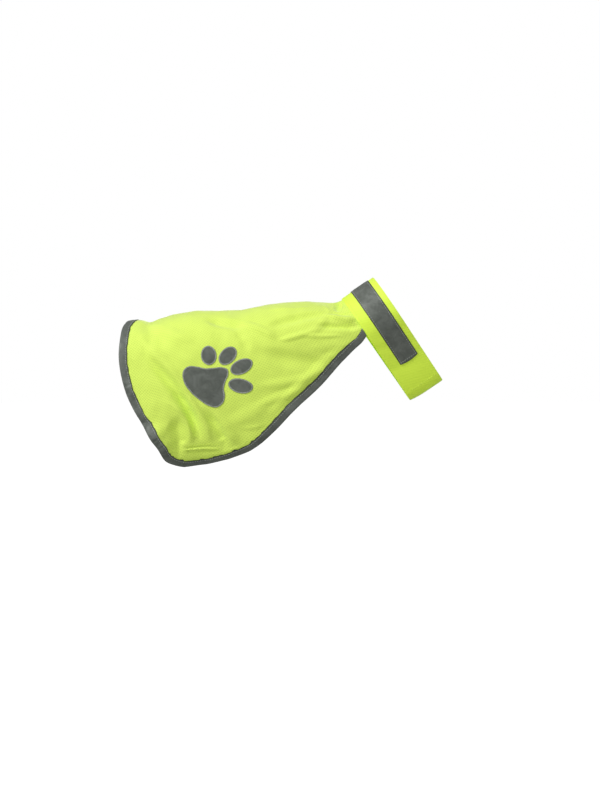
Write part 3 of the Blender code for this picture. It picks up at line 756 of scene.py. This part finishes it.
def panelCut():  # rows from the rear to the neck, columns from the left side to the right
    inner = inset(finishedEdge(), binding["fold"])
    rear, side = inner[: panel["stepsRound"] + 1], inner[panel["stepsRound"] :]
    u = np.linspace(0, 1, panel["stepsAlong"] + 1)[:, None, None]
    v = stepsFromSpine()[None, :, None]
    nape = np.array([panel["neckLine"], 0.0])
    ridge = rear[0] + u * (nape - rear[0])
    neck = nape + v * (side[-1] - nape)
    corners = (1 - u) * ((1 - v) * rear[0] + v * rear[-1]) + u * ((1 - v) * nape + v * side[-1])
    half = (1 - v) * ridge + v * side[:, None] + (1 - u) * rear[None] + u * neck - corners
    under = [half[-1:] * (0, 1) + (along, 0) for along in panel["underCollar"]]
    half = np.concatenate([half, *under])
    return np.concatenate([half[:, :0:-1], half * (1, -1)], axis=1)


def makeBackPanel():
    cut = panelCut()
    rows, columns = cut.shape[:2]
    face = clothForm(cut)
    lift = outward(clothForm, cut)
    points = face.reshape(-1, 3), (face - panel["cloth"] * lift).reshape(-1, 3)
    piece = addShell("backPanel", *points, gridFaces(rows, columns), cut.reshape(-1, 2), materials["mesh"])
    return carry(piece, "mesh_knit", "back_panel")


def bindingAt(width):
    return mirrored(inset(finishedEdge(), width))


def makeBinding():  # tape folded in two over the edge: outer leg, fold, inner leg
    half = finishedEdge()
    seeds = binding["seeds"]
    run = runAlong(plainForm(half))
    wave = binding["waviness"] * unevenWave(run, binding["wave"], seeds["wave"])
    fuller = binding["fuller"] * smoothStep(half[:, 0], *binding["fullerFrom"])
    fuller = fuller - binding["slimmer"] * smoothStep(half[:, 0], *binding["slimmerFrom"])
    pulled = unevenWave(run, binding["notchWave"], seeds["notch"])
    pulled = np.clip(binding["notchGain"] * pulled - binding["notchLevel"], 0, 1)
    notch = binding["notch"] * pulled * smoothStep(hemTuck(half), *binding["notchTuck"])
    puff = 0.5 + 0.5 * unevenWave(runAlong(bindingAt(0)), binding["puffWave"], seeds["puff"])
    out = unit(offCloth(bindingAt(binding["fold"]), 0) - offCloth(bindingAt(binding["width"]), 0))
    turn = np.radians(binding["foldAngles"])
    skins = []
    for clear, room in (
        (binding["gap"] + binding["tape"], binding["fold"]),
        (binding["gap"], binding["fold"] - binding["tape"]),
    ):
        outer, inner = [], []
        for width in binding["columns"]:
            share = (width - binding["fold"]) / (binding["width"] - binding["fold"])
            place = mirrored(inset(half, width + (wave + fuller) * share**2 + notch * share**6))
            rise = clear + binding["puff"] * puff * math.sin(math.pi * share)
            outer.append(offCloth(place, rise))
            inner.insert(0, offCloth(place, -panel["cloth"] - rise))
        middle = (outer[-1] + inner[0]) / 2
        radius = (outer[-1] - inner[0]) / 2
        bend = [middle + math.sin(a) * radius + math.cos(a) * room * out for a in turn]
        skins.append(np.stack([*outer, *bend, *inner], axis=1))
    run = runAlong(skins[0][:, 0])
    inFromEdge = [binding["width"] - width for width in binding["columns"]]
    inFromEdge = [*inFromEdge, *[binding["width"]] * len(turn), *inFromEdge[::-1]]
    cut = np.stack(np.meshgrid(run, inFromEdge, indexing="ij"), -1)
    piece = addSheet("edgeBinding", skins[0][::-1], skins[1][::-1], cut[::-1], materials["tape"])
    return carry(piece, "reflective_tape", "edge_binding")


# Stitches, one after the other along each chain of points, each chain with the direction that faces outwards
def stitchTree():
    tree = bpy.data.node_groups.new("stitches", "GeometryNodeTree")
    face = tree.interface
    face.new_socket("Geometry", in_out="INPUT", socket_type="NodeSocketGeometry")
    for name, kind in (
        ("Pitch", "NodeSocketFloat"),
        ("Size", "NodeSocketVector"),
        ("Turn", "NodeSocketFloat"),
        ("Unevenness", "NodeSocketFloat"),
        ("Seed", "NodeSocketInt"),
        ("Thread", "NodeSocketMaterial"),
    ):
        face.new_socket(name, in_out="INPUT", socket_type=kind)
    face.new_socket("Geometry", in_out="OUTPUT", socket_type="NodeSocketGeometry")
    given = addNode(tree, "NodeGroupInput").outputs
    chain = addNode(tree, "GeometryNodeMeshToCurve", {"Mesh": given["Geometry"]})
    pitched = {"Curve": chain.outputs["Curve"], "Length": given["Pitch"]}
    spaced = addNode(tree, "GeometryNodeResampleCurve", pitched, mode="LENGTH")
    bead = addNode(tree, "GeometryNodeMeshUVSphere", {"Segments": 6, "Rings": 5, "Radius": 0.5})
    smooth = addNode(tree, "GeometryNodeSetShadeSmooth", {"Geometry": bead.outputs["Mesh"]})
    facing = addNode(tree, "GeometryNodeInputNamedAttribute", {"Name": "facing"}, data_type="FLOAT_VECTOR")
    tangent = addNode(tree, "GeometryNodeInputTangent")
    aim = addNode(
        tree,
        "FunctionNodeAxesToRotation",
        {0: facing.outputs["Attribute"], 1: tangent.outputs["Tangent"]},
        primary_axis="Z",
        secondary_axis="X",
    )
    sway = addNode(tree, "ShaderNodeMath", {0: given["Unevenness"], 1: -1.0}, operation="MULTIPLY")
    limits = {2: sway.outputs[0], 3: given["Unevenness"], "Seed": given["Seed"]}
    jitter = addNode(tree, "FunctionNodeRandomValue", limits)
    angle = addNode(tree, "ShaderNodeMath", {0: given["Turn"], 1: jitter.outputs[1]}, operation="ADD")
    spin = addNode(tree, "FunctionNodeAxisAngleToRotation", {"Axis": (0, 0, 1), "Angle": angle.outputs[0]})
    turned = addNode(
        tree,
        "FunctionNodeRotateRotation",
        {"Rotation": aim.outputs[0], "Rotate By": spin.outputs[0]},
        rotation_space="LOCAL",
    )
    stretch = addNode(tree, "ShaderNodeMath", {0: jitter.outputs[1], 1: 1.0}, operation="ADD")
    stretched = {0: given["Size"], "Scale": stretch.outputs[0]}
    size = addNode(tree, "ShaderNodeVectorMath", stretched, operation="SCALE")
    sewn = addNode(
        tree,
        "GeometryNodeInstanceOnPoints",
        {
            "Points": spaced.outputs["Curve"],
            "Instance": smooth.outputs["Geometry"],
            "Rotation": turned.outputs[0],
            "Scale": size.outputs["Vector"],
        },
    )
    real = addNode(tree, "GeometryNodeRealizeInstances", {"Geometry": sewn.outputs["Instances"]})
    coloured = addNode(
        tree, "GeometryNodeSetMaterial", {"Geometry": real.outputs["Geometry"], "Material": given["Thread"]}
    )
    addNode(tree, "NodeGroupOutput", {"Geometry": coloured.outputs["Geometry"]})
    return tree


stitches = {
    "lock": {"Pitch": 3.0 * mm, "Size": (2.5 * mm, 0.55 * mm, 0.5 * mm), "Turn": 0.0, "Unevenness": 0.06},
    "satin": {"Pitch": 0.85 * mm, "Size": (1.9 * mm, 0.75 * mm, 0.65 * mm), "Turn": 1.35, "Unevenness": 0.2},
}
stitchNodes = stitchTree()


def sew(name, chains, style, thread, seed, slot):  # chains of (points, facing, closed) in millimetres
    points, facing, edges = [], [], []
    for line, faces, closed in chains:
        first = len(points)
        points += list(line * mm)
        facing += list(faces)
        edges += [(first + i, first + i + 1) for i in range(len(line) - 1)]
        if closed:
            edges.append((first + len(line) - 1, first))
    mesh = bpy.data.meshes.new(name)
    mesh.from_pydata([tuple(p) for p in points], edges, [])
    attribute = mesh.attributes.new("facing", "FLOAT_VECTOR", "POINT")
    attribute.data.foreach_set("vector", np.array(facing, np.float32).ravel())
    piece = bpy.data.objects.new(name, mesh)
    bpy.context.scene.collection.objects.link(piece)
    modifier = piece.modifiers.new("stitches", "NODES")
    modifier.node_group = stitchNodes
    values = {**stitches[style], "Seed": seed, "Thread": thread}
    for socket in stitchNodes.interface.items_tree:
        if socket.in_out == "INPUT" and socket.name in values:
            modifier[socket.identifier] = values[socket.name]
    sewn = bpy.data.meshes.new_from_object(piece.evaluated_get(bpy.context.evaluated_depsgraph_get()))
    piece.modifiers.clear()
    piece.data = sewn
    return carry(piece, slot)


def clothChain(place, distance, closed=False):  # a stitch line on the cloth, negative distances on the inside
    side = math.copysign(1.0, distance)
    return offCloth(place, distance), side * outward(clothForm, place), closed


# Collar: a large round over the nape, a small round under the throat and straight runs between them

collar = {
    "width": 46.5,
    "lean": 34.1,
    "top": (122.8, 14.8),
    "height": 149.0,
    "napeRadius": 46.0,
    "throatRadius": 14.0,
    "tuck": 2.0,
    "tuckReach": 22.0,
    "tuckFrom": 107.0,
    "lap": 24.0,
    "lapRamp": 36.0,
    "layerOffset": 2.15,
    "cadWebbing": 1.4,
    "webbing": 1.2,
    "selvage": 1.6,
    "selvageWall": 0.45,  # of the webbing
    "ripple": 0.22,
    "rippleWave": 17.0,
    "rippleSlant": 0.35,
    "rippleEnd": (60.0, 30.0),  # before the middle of the throat
    "rippleSeed": 21,
    "stepsRun": 300,
    "stepsAcross": 30,
}
reflector = {
    "width": 25.0,
    "rearMargin": 13.8,
    "halfLength": 136.0,
    "gap": 0.2,
    "tape": 0.45,
    "stitchIn": 1.9,
    "bow": 1.8,  # the ends are cut a little round
    "bowReach": 30.0,
    "fullness": 0.18,
    "fullFrom": 6.0,
    "fullWave": 9.0,
    "fullSeed": 8,
    "columns": (0, 0.5, 1.1, 1.9, 2.8, 5, 8, 11, 14, 17, 20, 22.2, 23.1, 23.9, 24.5, 25),
    "stepsRun": 230,
}


# Place and outward direction in the ring's plane, and half of its round. Run starts at the nape and is
# negative on the right
def collarRing(run):
    spread = collar["height"] - collar["napeRadius"] - collar["throatRadius"]
    leanIn = math.asin((collar["napeRadius"] - collar["throatRadius"]) / spread)
    straight = spread * math.cos(leanIn)
    napeRun = collar["napeRadius"] * (math.pi / 2 + leanIn)
    halfRound = napeRun + straight + collar["throatRadius"] * (math.pi / 2 - leanIn)
    reach = np.abs(np.asarray(run, float))
    past = reach > halfRound
    reach = np.where(past, 2 * halfRound - reach, reach)
    side = np.sign(run) * np.where(past, -1.0, 1.0)
    nape = np.minimum(reach, napeRun) / collar["napeRadius"]
    line = np.clip(reach - napeRun, 0, straight)
    throat = np.maximum(reach - napeRun - straight, 0)
    end = math.pi / 2 + leanIn
    turn = nape + throat / collar["throatRadius"]
    out = collar["napeRadius"] * np.sin(nape) + line * math.cos(end)
    drop = collar["napeRadius"] * (1 - np.cos(nape)) + line * math.sin(end)
    out = out + np.where(throat > 0, collar["throatRadius"] * (np.sin(turn) - math.sin(end)), 0)
    drop = drop + np.where(throat > 0, collar["throatRadius"] * (math.cos(end) - np.cos(turn)), 0)
    return np.stack([side * out, drop], -1), np.stack([side * np.sin(turn), -np.cos(turn)], -1), halfRound


# Across starts at the band's rear edge, and distance in the middle of its wall
def offCollar(run, across, distance):
    given = [np.asarray(value, float) for value in (run, across, distance)]
    run, across, distance = np.broadcast_arrays(*given)
    place, facing, halfRound = collarRing(run)
    lap = smoothStep(np.abs(run), halfRound - collar["lap"] - collar["lapRamp"], halfRound - collar["lap"])
    layer = -np.sign(run) * lap * collar["layerOffset"]
    free = 1 - smoothStep(np.abs(run), *(halfRound - np.array(collar["rippleEnd"])))
    slanted = run + collar["rippleSlant"] * across
    ripple = collar["ripple"] * unevenWave(slanted, collar["rippleWave"], collar["rippleSeed"]) * free
    place = place + (distance - collar["cadWebbing"] / 2 + layer + ripple)[..., None] * facing
    low = smoothStep(place[..., 1], collar["tuckFrom"], collar["height"])
    rear = np.clip(1 - across / collar["tuckReach"], 0, 1) ** 2
    drop = place[..., 1] - collar["tuck"] * rear * low
    lean = math.radians(collar["lean"])
    return np.stack(
        [
            collar["top"][0] + across * math.cos(lean) + drop * math.sin(lean),
            place[..., 0],
            collar["top"][1] + across * math.sin(lean) - drop * math.cos(lean),
        ],
        -1,
    )


# Bottom is the lower face's height at each place
def addBand(name, run, across, bottom, thickness, cut, material):
    outer = offCollar(run, across, bottom + thickness)
    inner = offCollar(run, across, bottom)
    return addSheet(name, outer[::-1], inner[::-1], cut[::-1], material)


def makeCollar():
    halfRound = collarRing(0.0)[2]
    runs = np.linspace(-halfRound - collar["lap"], halfRound + collar["lap"], collar["stepsRun"] + 1)
    across = np.linspace(0, collar["width"], collar["stepsAcross"] + 1)
    run, place = np.meshgrid(runs, across, indexing="ij")
    # A selvage is rounded: the wall thins towards either edge
    edge = smoothStep(np.minimum(across, collar["width"] - across), 0, collar["selvage"])
    wall = collar["webbing"] * (collar["selvageWall"] + (1 - collar["selvageWall"]) * edge)
    cut = np.stack([run, place], -1)
    piece = addBand("collarBand", run, place, -wall / 2, wall, cut, materials["band"])
    return carry(piece, "webbing", "collar_band")


def makeReflector():
    half, rear = reflector["halfLength"], reflector["rearMargin"]
    runs = np.linspace(-half, half, reflector["stepsRun"] + 1)
    run, place = np.meshgrid(runs, rear + np.array(reflector["columns"]), indexing="ij")
    fromSide = np.minimum(place - rear, rear + reflector["width"] - place)
    fromEnd = half - np.abs(run)
    inFromEdge = np.minimum(fromSide, fromEnd)
    cut = np.stack([run, inFromEdge], -1)
    middle = 1 - (2 * (place - rear) / reflector["width"] - 1) ** 2
    bow = reflector["bow"] * middle * smoothStep(np.abs(run), half - reflector["bowReach"], half)
    run = run + bow * np.sign(run)
    # The stitching pulls the tape down beside its edges, and it lies fuller between the rows
    fullness = reflector["fullness"] * smoothStep(inFromEdge, reflector["stitchIn"], reflector["fullFrom"])
    fullness = fullness * (1 + unevenWave(run + place, reflector["fullWave"], reflector["fullSeed"]))
    bottom = collar["webbing"] / 2 + reflector["gap"] + fullness
    piece = addBand("collarReflector", run, place, bottom, reflector["tape"], cut, materials["tape"])
    return carry(piece, "reflective_tape", "collar_reflector")


def collarChain(runs, across, distance):
    runs, across = np.broadcast_arrays(np.asarray(runs, float), np.asarray(across, float))
    side = math.copysign(1.0, distance)
    points = offCollar(runs, across, distance)
    facing = side * unit(offCollar(runs, across, distance + 0.5) - offCollar(runs, across, distance - 0.5))
    return points, facing, False


# Belly straps


def strapPath(side, offset, layer):  # rows from the root inside the panel to the strap's end
    widths = np.linspace(-strap["rootWidth"] / 2, strap["rootWidth"] / 2, strap["columns"])
    rows = []
    for round_ in np.linspace(strap["rootTop"], strap["rootEnd"], strap["rootRows"]):
        place = np.stack([strap["along"] + widths, np.full(widths.shape, side * round_)], -1)
        inward = plainForm(place) + (offset - strap["rootDepth"]) * outward(plainForm, place)
        rows.append(inward)
    start = rows[-1]
    heading = unit(rows[-1] - rows[-2])
    end = np.stack(
        [
            start[:, 0],
            np.full(widths.shape, side * strap["flatFrom"]),
            np.full(widths.shape, strap["level"] + layer - offset),
        ],
        -1,
    )
    level = np.array([0.0, -side, 0.0])
    for t in np.linspace(0, 1, strap["bendRows"] + 1)[1:]:
        rows.append(
            (1 - t) ** 3 * start
            + 3 * t * (1 - t) ** 2 * (start + strap["bendIn"] * heading)
            + 3 * t**2 * (1 - t) * (end - strap["bendOut"] * level)
            + t**3 * end
        )
    for reach in np.linspace(strap["flatFrom"], -strap["lap"], strap["flatRows"] + 1)[1:]:
        rows.append(np.where([False, True, False], side * reach, end))
    return np.array(rows)


def makeStrap(side, name, node):
    layer = side * strap["layerOffset"]
    outer = strapPath(side, strap["webbing"] / 2, layer)
    inner = strapPath(side, -strap["webbing"] / 2, layer)
    run = runAlong(outer[:, strap["columns"] // 2])
    width = np.linspace(-strap["width"] / 2, strap["width"] / 2, strap["columns"])
    cut = np.stack(np.meshgrid(run, width, indexing="ij"), -1)
    if side > 0:
        outer, inner, cut = outer[::-1], inner[::-1], cut[::-1]
    return carry(addSheet(name, outer, inner, cut, materials["band"]), "webbing", node), run[-1]


# Paw applique on the right side. Toe columns: number, along, round, half length, half width, tilt. Pad
# columns: along, round, clockwise
paw = {
    "toes": (
        (1, -38.7, -87, 11.6, 8.7, 92),
        (2, -17.8, -87.3, 12.4, 8.4, 52),
        (3, -4.2, -101.2, 12.6, 8.4, 30),
        (4, -6.8, -124, 12.6, 8.6, -22),
    ),
    "padCentre": (-42, -120.5),
    "pad": (
        (-67.5, -101.5),
        (-63.5, -98.8),
        (-52, -100),
        (-43, -102.6),
        (-34, -102),
        (-24, -101.2),
        (-18.8, -103.6),
        (-18.4, -110),
        (-21.5, -118),
        (-23.6, -127),
        (-23, -136),
        (-25.5, -144.5),
        (-32, -149.5),
        (-40, -147.5),
        (-50, -140),
        (-60.5, -128.5),
        (-67.5, -116),
        (-69, -108),
    ),
    "gap": 0.2,
    "fabric": 0.5,
    "underside": 0.15,
    "bevel": 0.6,  # of the fabric, past this share of the way to the outline
    "bevelFrom": 0.9,
    "border": 0.8,  # the satin stitches lie this far inside the outline
    "borderRise": 0.65,
    "noCutEdge": 10.0,  # the border hides the cut edge, so the fabric reads as this far in from one
    "toeSpokes": 72,
    "padSpokes": 150,
    "rings": (0.12, 0.25, 0.4, 0.55, 0.7, 0.8, 0.88, 0.94, 0.98, 1.0),
}


def toeOutline(along, round_, halfLength, halfWidth, tilt):
    turn = np.linspace(0, 2 * math.pi, paw["toeSpokes"], endpoint=False)
    tilt = math.radians(tilt)
    longSide, shortSide = halfLength * np.cos(turn), halfWidth * np.sin(turn)
    return np.stack(
        [
            along + longSide * math.cos(tilt) - shortSide * math.sin(tilt),
            round_ + longSide * math.sin(tilt) + shortSide * math.cos(tilt),
        ],
        -1,
    )


def padOutline():
    points = np.array(paw["pad"][::-1])
    laps = np.concatenate([points, points, points[:1]])
    return curveThrough(laps, 0.25 + 0.5 * np.arange(paw["padSpokes"]) / paw["padSpokes"])


def makePatch(name, node, centre, outline):
    centre = np.array(centre)
    count = len(outline)
    places = np.concatenate([[centre], *[centre + share * (outline - centre) for share in paw["rings"]]])
    faces = [(0, 1 + i, 1 + (i + 1) % count) for i in range(count)]
    for ring in range(len(paw["rings"]) - 1):
        first = 1 + ring * count
        for i in range(count):
            j = (i + 1) % count
            faces.append((first + i, first + count + i, first + count + j, first + j))
    share = np.concatenate([[0.0], np.repeat(paw["rings"], count)])
    top = paw["gap"] + paw["fabric"] * (1 - paw["bevel"] * smoothStep(share, paw["bevelFrom"], 1.0))
    cut = np.stack([places[:, 0], np.full(len(places), paw["noCutEdge"])], -1)
    skins = offCloth(places, top), offCloth(places, paw["underside"])
    return carry(addShell(name, *skins, faces, cut, materials["tape"]), "reflective_tape", node)


def borderChain(centre, outline):
    inward = unit(np.array(centre) - outline)
    return clothChain(outline + paw["border"] * inward, paw["borderRise"], closed=True)


def makePaw():
    pieces, borders = [], []
    for number, along, round_, *form in paw["toes"]:
        outline = toeOutline(along, round_, *form)
        pieces.append(makePatch(f"pawToe{number}", f"paw_toe_{number}", (along, round_), outline))
        borders.append(borderChain((along, round_), outline))
    pieces.append(makePatch("pawPad", "paw_pad", paw["padCentre"], padOutline()))
    borders.append(borderChain(paw["padCentre"], padOutline()))
    pieces.append(sew("pawSatinBorder", borders, "satin", materials["greyThread"], 4, "reflective_tape"))
    return pieces


backPanel = makeBackPanel()
print("back panel made:", len(backPanel.data.polygons), "faces")
edgeBinding = makeBinding()
print("binding made:", len(edgeBinding.data.polygons), "faces")
collarBand = makeCollar()
collarReflector = makeReflector()
print("collar made")
strapRight, strapRun = makeStrap(-1, "bellyStrapRight", "belly_strap_right")
strapLeft, _ = makeStrap(1, "bellyStrapLeft", "belly_strap_left")
print("belly straps made")
pawPieces = makePaw()
print("paw made")

for closure in ("collar_hook_tape", "collar_loop_tape", "belly_hook_tape", "belly_loop_tape"):
    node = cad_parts[closure]
    node.data.materials.clear()
    node.data.materials.append(materials["pile"])


# How far the middle of a thread stands off the face under it, where the rows run and the points on each
sewing = {
    "onBinding": 0.12,
    "onReflector": 0.08,
    "onCloth": 0.05,
    "neckIn": 3.2,
    "neckShare": 0.93,  # of the panel's way round the neck
    "closureIn": 6.0,
    "reflectorPoints": 200,
    "reflectorEndPoints": 12,
    "neckPoints": 90,
    "strapPoints": 20,
    "closurePoints": 40,
    "closureEndPoints": 20,
}


def makeSeams():
    made = {}
    onBand = collar["webbing"] / 2 + sewing["onCloth"]
    over = binding["gap"] + binding["tape"] + sewing["onBinding"]
    line = bindingAt(binding["stitchIn"])
    rows = [clothChain(line, over), clothChain(line, -panel["cloth"] - over)]
    made["binding"] = sew("bindingStitches", rows, "lock", materials["greyThread"], 1, "reflective_tape")
    # Both rows of the reflective strip and the ends, seen on the tape and inside the collar
    half, rear, width, into = (reflector[key] for key in ("halfLength", "rearMargin", "width", "stitchIn"))
    runs = np.linspace(-half + into, half - into, sewing["reflectorPoints"])
    ends = np.linspace(rear + into, rear + width - into, sewing["reflectorEndPoints"])
    top = collar["webbing"] / 2 + reflector["gap"] + reflector["tape"] + sewing["onReflector"]
    rows = []
    for height in (top, -onBand):
        rows += [collarChain(runs, rear + into, height), collarChain(runs, rear + width - into, height)]
        rows += [collarChain(side * (half - into), ends, height) for side in (-1, 1)]
    made["reflector"] = sew("reflectorStitches", rows, "lock", materials["greyThread"], 2, "reflective_tape")
    # The seam that joins the panel to the collar
    reach = sewing["neckShare"] * panel["sideEdge"][-1][1]
    runs = np.linspace(-reach, reach, sewing["neckPoints"])
    rows = [collarChain(runs, sewing["neckIn"], onBand)]
    made["neck"] = sew("neckSeamStitches", rows, "lock", materials["yellowThread"], 3, "webbing")
    # Two rows hold each strap's root, above and below the pleat
    across = strap["along"] + np.linspace(-0.5, 0.5, sewing["strapPoints"]) * strap["stitchRun"]
    rows = []
    for side in (-1, 1):
        for round_ in strap["stitchRows"]:
            line = np.stack([across, np.full(across.shape, side * round_)], -1)
            rows.append(clothChain(line, sewing["onCloth"]))
    made["straps"] = sew("strapRootStitches", rows, "lock", materials["yellowThread"], 5, "webbing")
    # A box of stitches holds each closure of the collar
    halfRound = collarRing(0.0)[2]
    near, far = sewing["closureIn"], collar["width"] - sewing["closureIn"]
    inLap = collar["lap"] - sewing["closureIn"]
    rows = []
    for side in (-1, 1):
        height = -side * onBand
        first, last = side * (halfRound - inLap), side * (halfRound + inLap)
        runs = np.linspace(first, last, sewing["closurePoints"])
        ends = np.linspace(near, far, sewing["closureEndPoints"])
        rows += [collarChain(runs, near, height), collarChain(runs, far, height)]
        rows += [collarChain(first, ends, height), collarChain(last, ends, height)]
    made["closures"] = sew("closureStitches", rows, "lock", materials["yellowThread"], 6, "webbing")
    return made


seams = makeSeams()
print("seams sewn:", sum(len(piece.data.polygons) for piece in seams.values()), "faces")

# Studio: a pale floor, a soft key light high on the left, and weaker ones overhead, on the right and behind.
# Light columns: name, place, width and height, power

studio = {
    "floor": -0.31,
    "target": (0.072, -0.058, -0.1074),
    "azimuth": -0.6,
    "elevation": 0.9,
    "distance": 4.5,
    "lens": 168.75,
    "sensor": 36.0,
    "backdrop": 1.0,
    "fill": 0.17,
    "floorRadius": 12.0,
    "floorGlow": 0.96,
    "floorColours": ("#aaaaa8", "#aeaeac"),
    "floorGrain": 16.667,
    "floorDepth": 0.05,
    "lightAim": (0.03, 0.0, -0.08),
    "lights": (
        ("keySoftbox", (-1.9, -1.6, 1.8), (0.8, 0.8), 76.0),
        ("overheadSoftbox", (0.1, 0.1, 2.2), (1.6, 1.6), 8.0),
        ("frontSoftbox", (1.4, -2.4, 0.5), (0.8, 0.8), 13.5),
        ("backSoftbox", (1.7, 2.2, 0.7), (0.8, 0.8), 34.0),
    ),
}


def addCamera():
    azimuth, elevation = math.radians(studio["azimuth"]), math.radians(studio["elevation"])
    level = np.array([math.sin(azimuth), -math.cos(azimuth), 0.0])
    back = math.cos(elevation) * level + (0.0, 0.0, math.sin(elevation))
    data = bpy.data.cameras.new("camera")
    data.lens = studio["lens"]
    data.sensor_width = studio["sensor"]
    camera = bpy.data.objects.new("camera", data)
    camera.location = np.array(studio["target"]) + studio["distance"] * back
    camera.rotation_euler = (math.pi / 2 - elevation, 0.0, azimuth)
    bpy.context.scene.collection.objects.link(camera)
    bpy.context.scene.camera = camera


def addSoftLight(name, place, size, power):
    data = bpy.data.lights.new(name, "AREA")
    data.shape = "RECTANGLE"
    data.size, data.size_y = size
    data.energy = power
    light = bpy.data.objects.new(name, data)
    light.location = place
    x, y, z = np.array(studio["lightAim"]) - np.array(place)
    light.rotation_euler = (math.atan2(math.hypot(x, y), -z), 0.0, math.atan2(-x, y))
    bpy.context.scene.collection.objects.link(light)


def addFloor():  # matt painted board, pale and even, with next to no gloss
    material, tree, shader = newMaterial("paleFloor", {"Roughness": 0.8, "Specular IOR Level": 0.2})
    place = addNode(tree, "ShaderNodeTexCoord").outputs["Object"]
    paint = {"Vector": place, "Scale": 1 / (studio["floorGrain"] * mm), "Detail": 4.0}
    grain = addNode(tree, "ShaderNodeTexNoise", paint).outputs["Fac"]
    dark, light = (toLinear(colour) for colour in studio["floorColours"])
    sides = {mixFactor: grain, mixFirst: dark, mixSecond: light}
    colour = addNode(tree, "ShaderNodeMix", sides, data_type="RGBA").outputs[mixResult]
    finishMaterial(tree, shader, colour, grain, studio["floorDepth"])
    # The floor shows as bright as the backdrop, and lights the coat only as a pale surface does
    seen = addNode(tree, "ShaderNodeLightPath").outputs["Is Camera Ray"]
    glow = addNode(tree, "ShaderNodeMath", {0: seen, 1: studio["floorGlow"]}, operation="MULTIPLY")
    shader.inputs["Emission Color"].default_value = (1.0, 1.0, 1.0, 1.0)
    tree.links.new(glow.outputs["Value"], shader.inputs["Emission Strength"])
    mesh = bpy.data.meshes.new("floor")
    turn = np.linspace(0, 2 * math.pi, 128, endpoint=False)
    radius = studio["floorRadius"]
    rim = [(radius * math.cos(a), radius * math.sin(a), studio["floor"]) for a in turn]
    mesh.from_pydata(rim, [], [tuple(range(len(rim)))])
    mesh.materials.append(material)
    floor = bpy.data.objects.new("floor", mesh)
    bpy.context.scene.collection.objects.link(floor)


def addBackdrop():  # white behind the coat, and a dimmer white as fill light
    world = bpy.data.worlds.new("studio")
    world.use_nodes = True
    tree = world.node_tree
    tree.nodes.clear()
    seen = addNode(tree, "ShaderNodeLightPath").outputs["Is Camera Ray"]
    levels = {"Value": seen, "To Min": studio["fill"], "To Max": studio["backdrop"]}
    power = addNode(tree, "ShaderNodeMapRange", levels).outputs["Result"]
    sky = addNode(tree, "ShaderNodeBackground", {"Color": (1.0, 1.0, 1.0, 1.0), "Strength": power})
    addNode(tree, "ShaderNodeOutputWorld", {"Surface": sky.outputs["Background"]})
    bpy.context.scene.world = world


addCamera()
for light in studio["lights"]:
    addSoftLight(*light)
addFloor()
addBackdrop()
bpy.context.scene.view_settings.view_transform = "Standard"
print("studio set")
